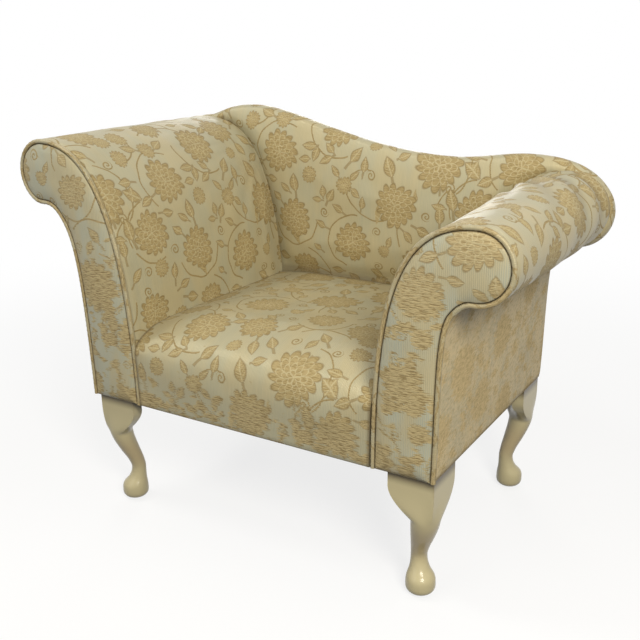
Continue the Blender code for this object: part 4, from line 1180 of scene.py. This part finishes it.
def buildBack():
    rings = backRings()
    count = len(rings[0][1])
    points, uvs = [], []
    for y, ring in rings:
        ways = ring - ring.mean(0)
        ways /= np.linalg.norm(ways, axis=1, keepdims=True)
        crowned = back["crown"] if y < chair["backRear"] - back["rimRear"] else 0
        points += [(x, y - crowned * share, z) for (x, z), share in zip(ring, backCrown(*ring.T))]
        uvs += (ring + ways * max(y - chair["padFront"] - back["wrapStart"], 0)).tolist()
    faces = gridFaces(len(rings), count, closed=True) + [range(count)]
    # the net of the front starts with the points of the last ring
    place, triangles = fillNet(rings[-1][1], back["net"])
    edge = len(points) - count
    x, z = place.T
    crown = backCrown(x, z)
    spots = np.stack([x, 0 * x, z], 1)
    puff = back["crown"] + wander(spots, back["unevenSize"], back["unevenness"], back["seed"])
    spots[:, 1] = chair["padFront"] - puff * crown
    points += spots[count:].tolist()
    uvs += place[count:].tolist()
    faces += [[edge + corner for corner in t] for t in triangles]
    # painted shade near the arms and the seat, where the back meets them
    nearHigh = x - innerAt(highArm, chair["innerSwell"], z)
    nearLow = innerAt(lowArm, chair["innerSwell"], z) - x
    near = np.maximum(np.minimum(np.minimum(nearHigh, nearLow), z - back["seatJoin"]), 0)
    seams, held = np.zeros(len(points)), np.ones(len(points))
    seams[edge:] = np.where(nearLow < nearHigh, *back["seamShades"]) * (1 - smooth(near / back["seamReach"]))
    held[edge:] = 1 - crown
    piece = makePiece(
        "backCover", points, faces, uvs, panelDamask, "damask", "back_padding", back["fill"], seams
    )
    plump(piece, held, back["give"])


buildBack()
print("back made")


# Plain panel over the rear of the back, slip-stitched round its edge

outsideBack = {
    "inset": 0.0002, "sunk": 0.0022, "thickness": 0.0045, "roundReach": 0.018, "net": 0.012,
    "seamShade": 0.6, "seamReach": 0.004,
}


def buildOutsideBack():
    ring = backOutline(back["rimRear"])
    ring[0, 1] = ring[-1, 1] = chair["baseHeight"]
    net = fillNet(ring, outsideBack["net"])
    reach = reachFrom(net[0], ring)
    swell = rounded(reach / outsideBack["roundReach"])
    depth = chair["bodyDepth"] - outsideBack["inset"] - outsideBack["sunk"] * (1 - swell)
    points, faces, spots = backedPanel(net, len(ring), depth, chair["bodyDepth"] - outsideBack["thickness"])
    # painted shade round the panel's slip-stitched edge
    seams = np.ones(len(points))
    seams[: len(reach)] = outsideBack["seamShade"] * (1 - smooth(reach / outsideBack["seamReach"]))
    uvs = spots * (-1, 1) + (0, 0.02)
    makePiece("outsideBack", points, faces, uvs, outsideDamask, "damask", "outside_back", None, seams)


buildOutsideBack()
print("outside back made")


# Sheets: hessian stretched over the springs, lining tacked under the rails

sheets = {
    "springHessian": {
        "node": "spring_cover", "slot": "hessian", "finish": hessianCloth,
        "steps": 33, "thickness": 0.0009, "sag": 0.0,
        "rests": ["front_seat_rail", "rear_seat_rail"],
    },
    "dustLining": {
        "node": "dust_cover", "slot": "lining_cloth", "finish": liningCloth,
        "steps": 33, "thickness": 0.0006, "sag": -0.0004,
        "rests": ["front_seat_rail", "rear_seat_rail", "side_seat_rail_left", "side_seat_rail_right"],
    },
}


def buildSheet(name, sheet):
    low, high = (Vector(corner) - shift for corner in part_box(sheet["node"]))
    steps = sheet["steps"]
    points = []
    for v in np.arange(steps) / (steps - 1):
        for u in np.arange(steps) / (steps - 1):
            rise = sheet["thickness"] + sheet["sag"] * sin(pi * u) * sin(pi * v)
            points.append((low.x + (high.x - low.x) * u, low.y + (high.y - low.y) * v, low.z + rise))
    piece = makePiece(
        name, points, gridFaces(steps, steps), [p[:2] for p in points],
        sheet["finish"], sheet["slot"], sheet["node"],
    )
    cloth = piece.modifiers.new("clothThickness", "SOLIDIFY")
    cloth.thickness = sheet["thickness"]
    cloth.offset = 0
    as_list(sheet["rests"])


for name, sheet in sheets.items():
    buildSheet(name, sheet)
print("sheets made")


# Cabriole legs: foot, ankle and knee along the diagonal, ears under the rails

leg = {
    "low": 0.0043, "high": 0.2637, "kneeInset": 0.039, "ankleInset": 0.072, "footInset": 0.061,
    "kneeRadius": 0.0255, "kneeAcross": 0.030, "ankleRadius": 0.0158, "footRadius": 0.0288,
    "earLength": 0.092, "earDepth": 0.027, "earSetBack": 0.003, "backReach": 0.047, "ridge": 0.002,
    "frontSetBack": 0.008, "rearSetBack": 0.010, "sideSetOut": 0.003, "rows": 72,
    # level, then how far the section is from the foot's or the ankle's towards the next one's
    "foot": [
        (0.0, 0.0, 0.80), (0.03, 0.0, 0.96), (0.08, 0.0, 1.0), (0.13, 0.10, 0.93),
        (0.175, 0.55, 0.72), (0.22, 0.85, 0.60),
    ],
    "shank": [
        (0.28, 0.0, 0.0), (0.35, 0.13, 0.13), (0.46, 0.48, 0.46), (0.58, 0.82, 0.74),
        (0.68, 0.97, 0.90), (0.80, 1.0, 1.0), (1.0, 1.0, 1.0),
    ],
    "soleLevel": 0.03, "ankleLevel": 0.28, "earLevel": 0.64, "shoulderLevel": 0.885,
}


def through(marks, values, at):
    # smooth curve through a few values, with no overshoot
    marks, values = np.array(marks), np.array(values)
    slopes = np.gradient(values, marks)
    steps = np.diff(values) / np.diff(marks)
    slopes[1:-1] = np.where(steps[:-1] * steps[1:] <= 0, 0, slopes[1:-1])
    index = np.clip(np.searchsorted(marks, at) - 1, 0, len(marks) - 2)
    run = marks[index + 1] - marks[index]
    t = (at - marks[index]) / run
    a, b = values[index], values[index + 1]
    return (
        (2 * t**3 - 3 * t**2 + 1) * a + (t**3 - 2 * t**2 + t) * run * slopes[index]
        + (3 * t**2 - 2 * t**3) * b + (t**3 - t**2) * run * slopes[index + 1]
    )


def legEar():
    # section under the rails, an L with a rounded inner corner, along and across the diagonal
    length, thin, reach = leg["earLength"], leg["earDepth"], leg["backReach"]
    half = [(length * s, 0) for s in np.linspace(0, 1, 11)]
    half += [(length, thin * s) for s in (0.33, 0.67, 1.0)]
    half += [(length + (reach - length) * s, thin + (reach - thin) * s) for s in np.linspace(0, 1, 12)[1:]]
    ear = np.array(half + [(v, u) for u, v in half[-2:0:-1]]) + leg["earSetBack"]
    return (ear[:, 0] + ear[:, 1]) * sqrt(0.5), (ear[:, 0] - ear[:, 1]) * sqrt(0.5)


def buildLeg(word, side, way):
    marks, insets, radii = [], [], []
    for mark, insetShare, radiusShare in leg["foot"]:
        marks.append(mark)
        insets.append(leg["footInset"] + (leg["ankleInset"] - leg["footInset"]) * insetShare)
        radii.append(leg["footRadius"] * radiusShare)
    for mark, insetShare, radiusShare in leg["shank"]:
        marks.append(mark)
        insets.append(leg["ankleInset"] + (leg["kneeInset"] - leg["ankleInset"]) * insetShare)
        radii.append(leg["ankleRadius"] + (leg["kneeRadius"] - leg["ankleRadius"]) * radiusShare)
    sole = leg["soleLevel"]
    levels = np.concatenate([np.linspace(0, sole, 5), np.linspace(sole, 1, leg["rows"])[1:]])
    inset = through(marks, insets, levels)
    radius = through(marks, radii, levels)
    # the sole curls under
    radius *= np.where(levels < sole, 0.80 + 0.20 * rounded(levels / sole), 1)
    radius[0:5] = np.minimum(radius[0:5], radius[5])
    earIn, earAcross = legEar()
    sides = len(earIn)
    turns = tau * np.arange(sides) / sides
    points = []
    for level, middle, size in zip(levels, inset, radius):
        rising = smooth((level - leg["ankleLevel"]) / (leg["earLevel"] - leg["ankleLevel"]))
        wide = size + (leg["kneeAcross"] - leg["kneeRadius"]) * rising
        reach = size + leg["ridge"] * rising * smooth(np.cos(turns))
        stemIn, stemAcross = middle - reach * np.cos(turns), wide * np.sin(turns)
        toEar = (level - leg["earLevel"]) / (leg["shoulderLevel"] - leg["earLevel"])
        blend = sin(pi / 2 * min(max(toEar, 0), 1))
        along = stemIn + (earIn - stemIn) * blend
        across = stemAcross + (earAcross - stemAcross) * blend
        u, v = (along + across) * sqrt(0.5), (along - across) * sqrt(0.5)
        x = side * (halfWidth + leg["sideSetOut"] - u)
        y = leg["frontSetBack"] + v if way > 0 else chair["bodyDepth"] - leg["rearSetBack"] - v
        z = leg["low"] + (leg["high"] - leg["low"]) * level
        points += [(a, b, z) for a, b in zip(x, y)]
    faces = gridFaces(len(levels), sides, closed=True)
    faces += [tuple(range(sides)), tuple(range(len(points) - sides, len(points)))]
    makePiece("leg_" + word, points, faces, None, legFinish, "cream_paint", "cabriole_leg_" + word)


for end, way in (("front", 1), ("rear", -1)):
    for word, arm in arms.items():
        buildLeg(end + "_" + word, arm["side"], way)
print("legs made")


# The hidden frame and small parts keep their solids and get their finish

finishes = {
    "hardwood": woodFinish, "hessian": hessianCloth, "lining_cloth": liningCloth,
    "spring_steel": springFinish, "zinc_steel": zincFinish, "cream_paint": legFinish,
    "damask": panelDamask, "facing_damask": faceDamask,
}
for entry in frame["record"]["subparts"]:
    node = frame["nodes"][entry["node"]]
    node.data.materials.clear()
    node.data.materials.append(finishes[entry["material_slot"]])
print("frame finished")


# Studio: pale floor that keeps a soft shadow, white surround, five soft lamps

studio = {
    "floorSize": 60.0,
    "floorGlow": 0.78,  # how far the paper shines by itself beside the chair
    "floorPale": 0.92,
    "floorShade": 0.06,
    "shadowReach": (0.7, 2.6),
    "surround": 0.21,
    "aim": (0, 0, 0.42),
    # lamps: name, place, size, power, colour
    "lamps": [
        ("keyLamp", (1.9, -1.8, 2.0), 1.1, 76, (1.0, 0.955, 0.845)),
        ("overheadLamp", (-1.35, -0.8, 2.45), 0.8, 18, (1.0, 0.985, 0.93)),
        ("topLamp", (0.9, 0.5, 2.6), 1.5, 8, (1.0, 0.985, 0.95)),
        ("rearLamp", (-1.6, 2.8, 1.1), 1.8, 30, (1.0, 0.99, 0.96)),
        ("frontLamp", (-1.0, -2.8, 1.6), 2.2, 14, (1.0, 0.98, 0.93)),
    ],
}


def seenWhite(n):
    # 1 for what the camera sees, also in gloss or through glass
    rays = n.put("LightPath").outputs
    seen = [Wire(n, rays[name]) for name in ("Is Camera Ray", "Is Glossy Ray", "Is Transmission Ray")]
    return reduce(n.most, seen)


def buildStudio():
    world = bpy.data.worlds.new("studioSurround")
    world.use_nodes = True
    bpy.context.scene.world = world
    n = Nodes(world.node_tree)
    shade = world.node_tree.nodes["Background"]
    n.join(seenWhite(n).line(1 - studio["surround"], studio["surround"]), shade.inputs["Strength"])
    n.join((1, 1, 1), shade.inputs["Color"])

    floorMesh = bpy.data.meshes.new("studioFloor")
    reach = studio["floorSize"] / 2
    corners = [(-reach, -reach, 0), (reach, -reach, 0), (reach, reach, 0), (-reach, reach, 0)]
    floorMesh.from_pydata(corners, [], [(0, 1, 2, 3)])
    floor = bpy.data.objects.new("studioFloor", floorMesh)
    bpy.context.scene.collection.objects.link(floor)
    paper, n = newFinish("studioPaper")
    n.tree.nodes.clear()
    seen = seenWhite(n)
    tone = seen.line(studio["floorPale"] - studio["floorShade"], studio["floorShade"])
    # the shadow shows near the chair, and the paper turns white further out
    away = n.vector("LENGTH", n.out("NewGeometry", output="Position"))
    glowing = seen * n.ramp(away, *studio["shadowReach"], studio["floorGlow"], 1.0)
    diffuse = n.out("BsdfDiffuse", n.combine(tone, tone, tone))
    n.put("OutputMaterial", n.out("MixShader", glowing, diffuse, n.out("Emission", (1, 1, 1))))
    floorMesh.materials.append(paper)

    for name, place, size, power, color in studio["lamps"]:
        lamp = bpy.data.lights.new(name, "AREA")
        lamp.shape = "DISK"
        lamp.size = size
        lamp.energy = power
        lamp.color = color
        holder = bpy.data.objects.new(name, lamp)
        holder.location = place
        aim = Vector(studio["aim"]) - Vector(place)
        holder.rotation_euler = aim.to_track_quat("-Z", "Y").to_euler()
        bpy.context.scene.collection.objects.link(holder)


photoView = {"turn": 31.81, "tilt": 18.64, "roll": 0.856, "lens": 49.84, "place": (0.9745, -1.5548, 1.0324)}


def buildCamera():
    view = bpy.data.cameras.new("photoCamera")
    view.sensor_fit = "HORIZONTAL"
    view.sensor_width = 36
    view.lens = photoView["lens"]
    camera = bpy.data.objects.new("photoCamera", view)
    turned = Matrix.Rotation(radians(photoView["turn"]), 4, "Z")
    tilted = Matrix.Rotation(radians(90 - photoView["tilt"]), 4, "X")
    rolled = Matrix.Rotation(radians(-photoView["roll"]), 4, "Z")
    camera.matrix_world = Matrix.Translation(photoView["place"]) @ turned @ tilted @ rolled
    bpy.context.scene.collection.objects.link(camera)
    bpy.context.scene.camera = camera


buildStudio()
buildCamera()
bpy.context.scene.view_settings.view_transform = "Standard"
print("studio set")
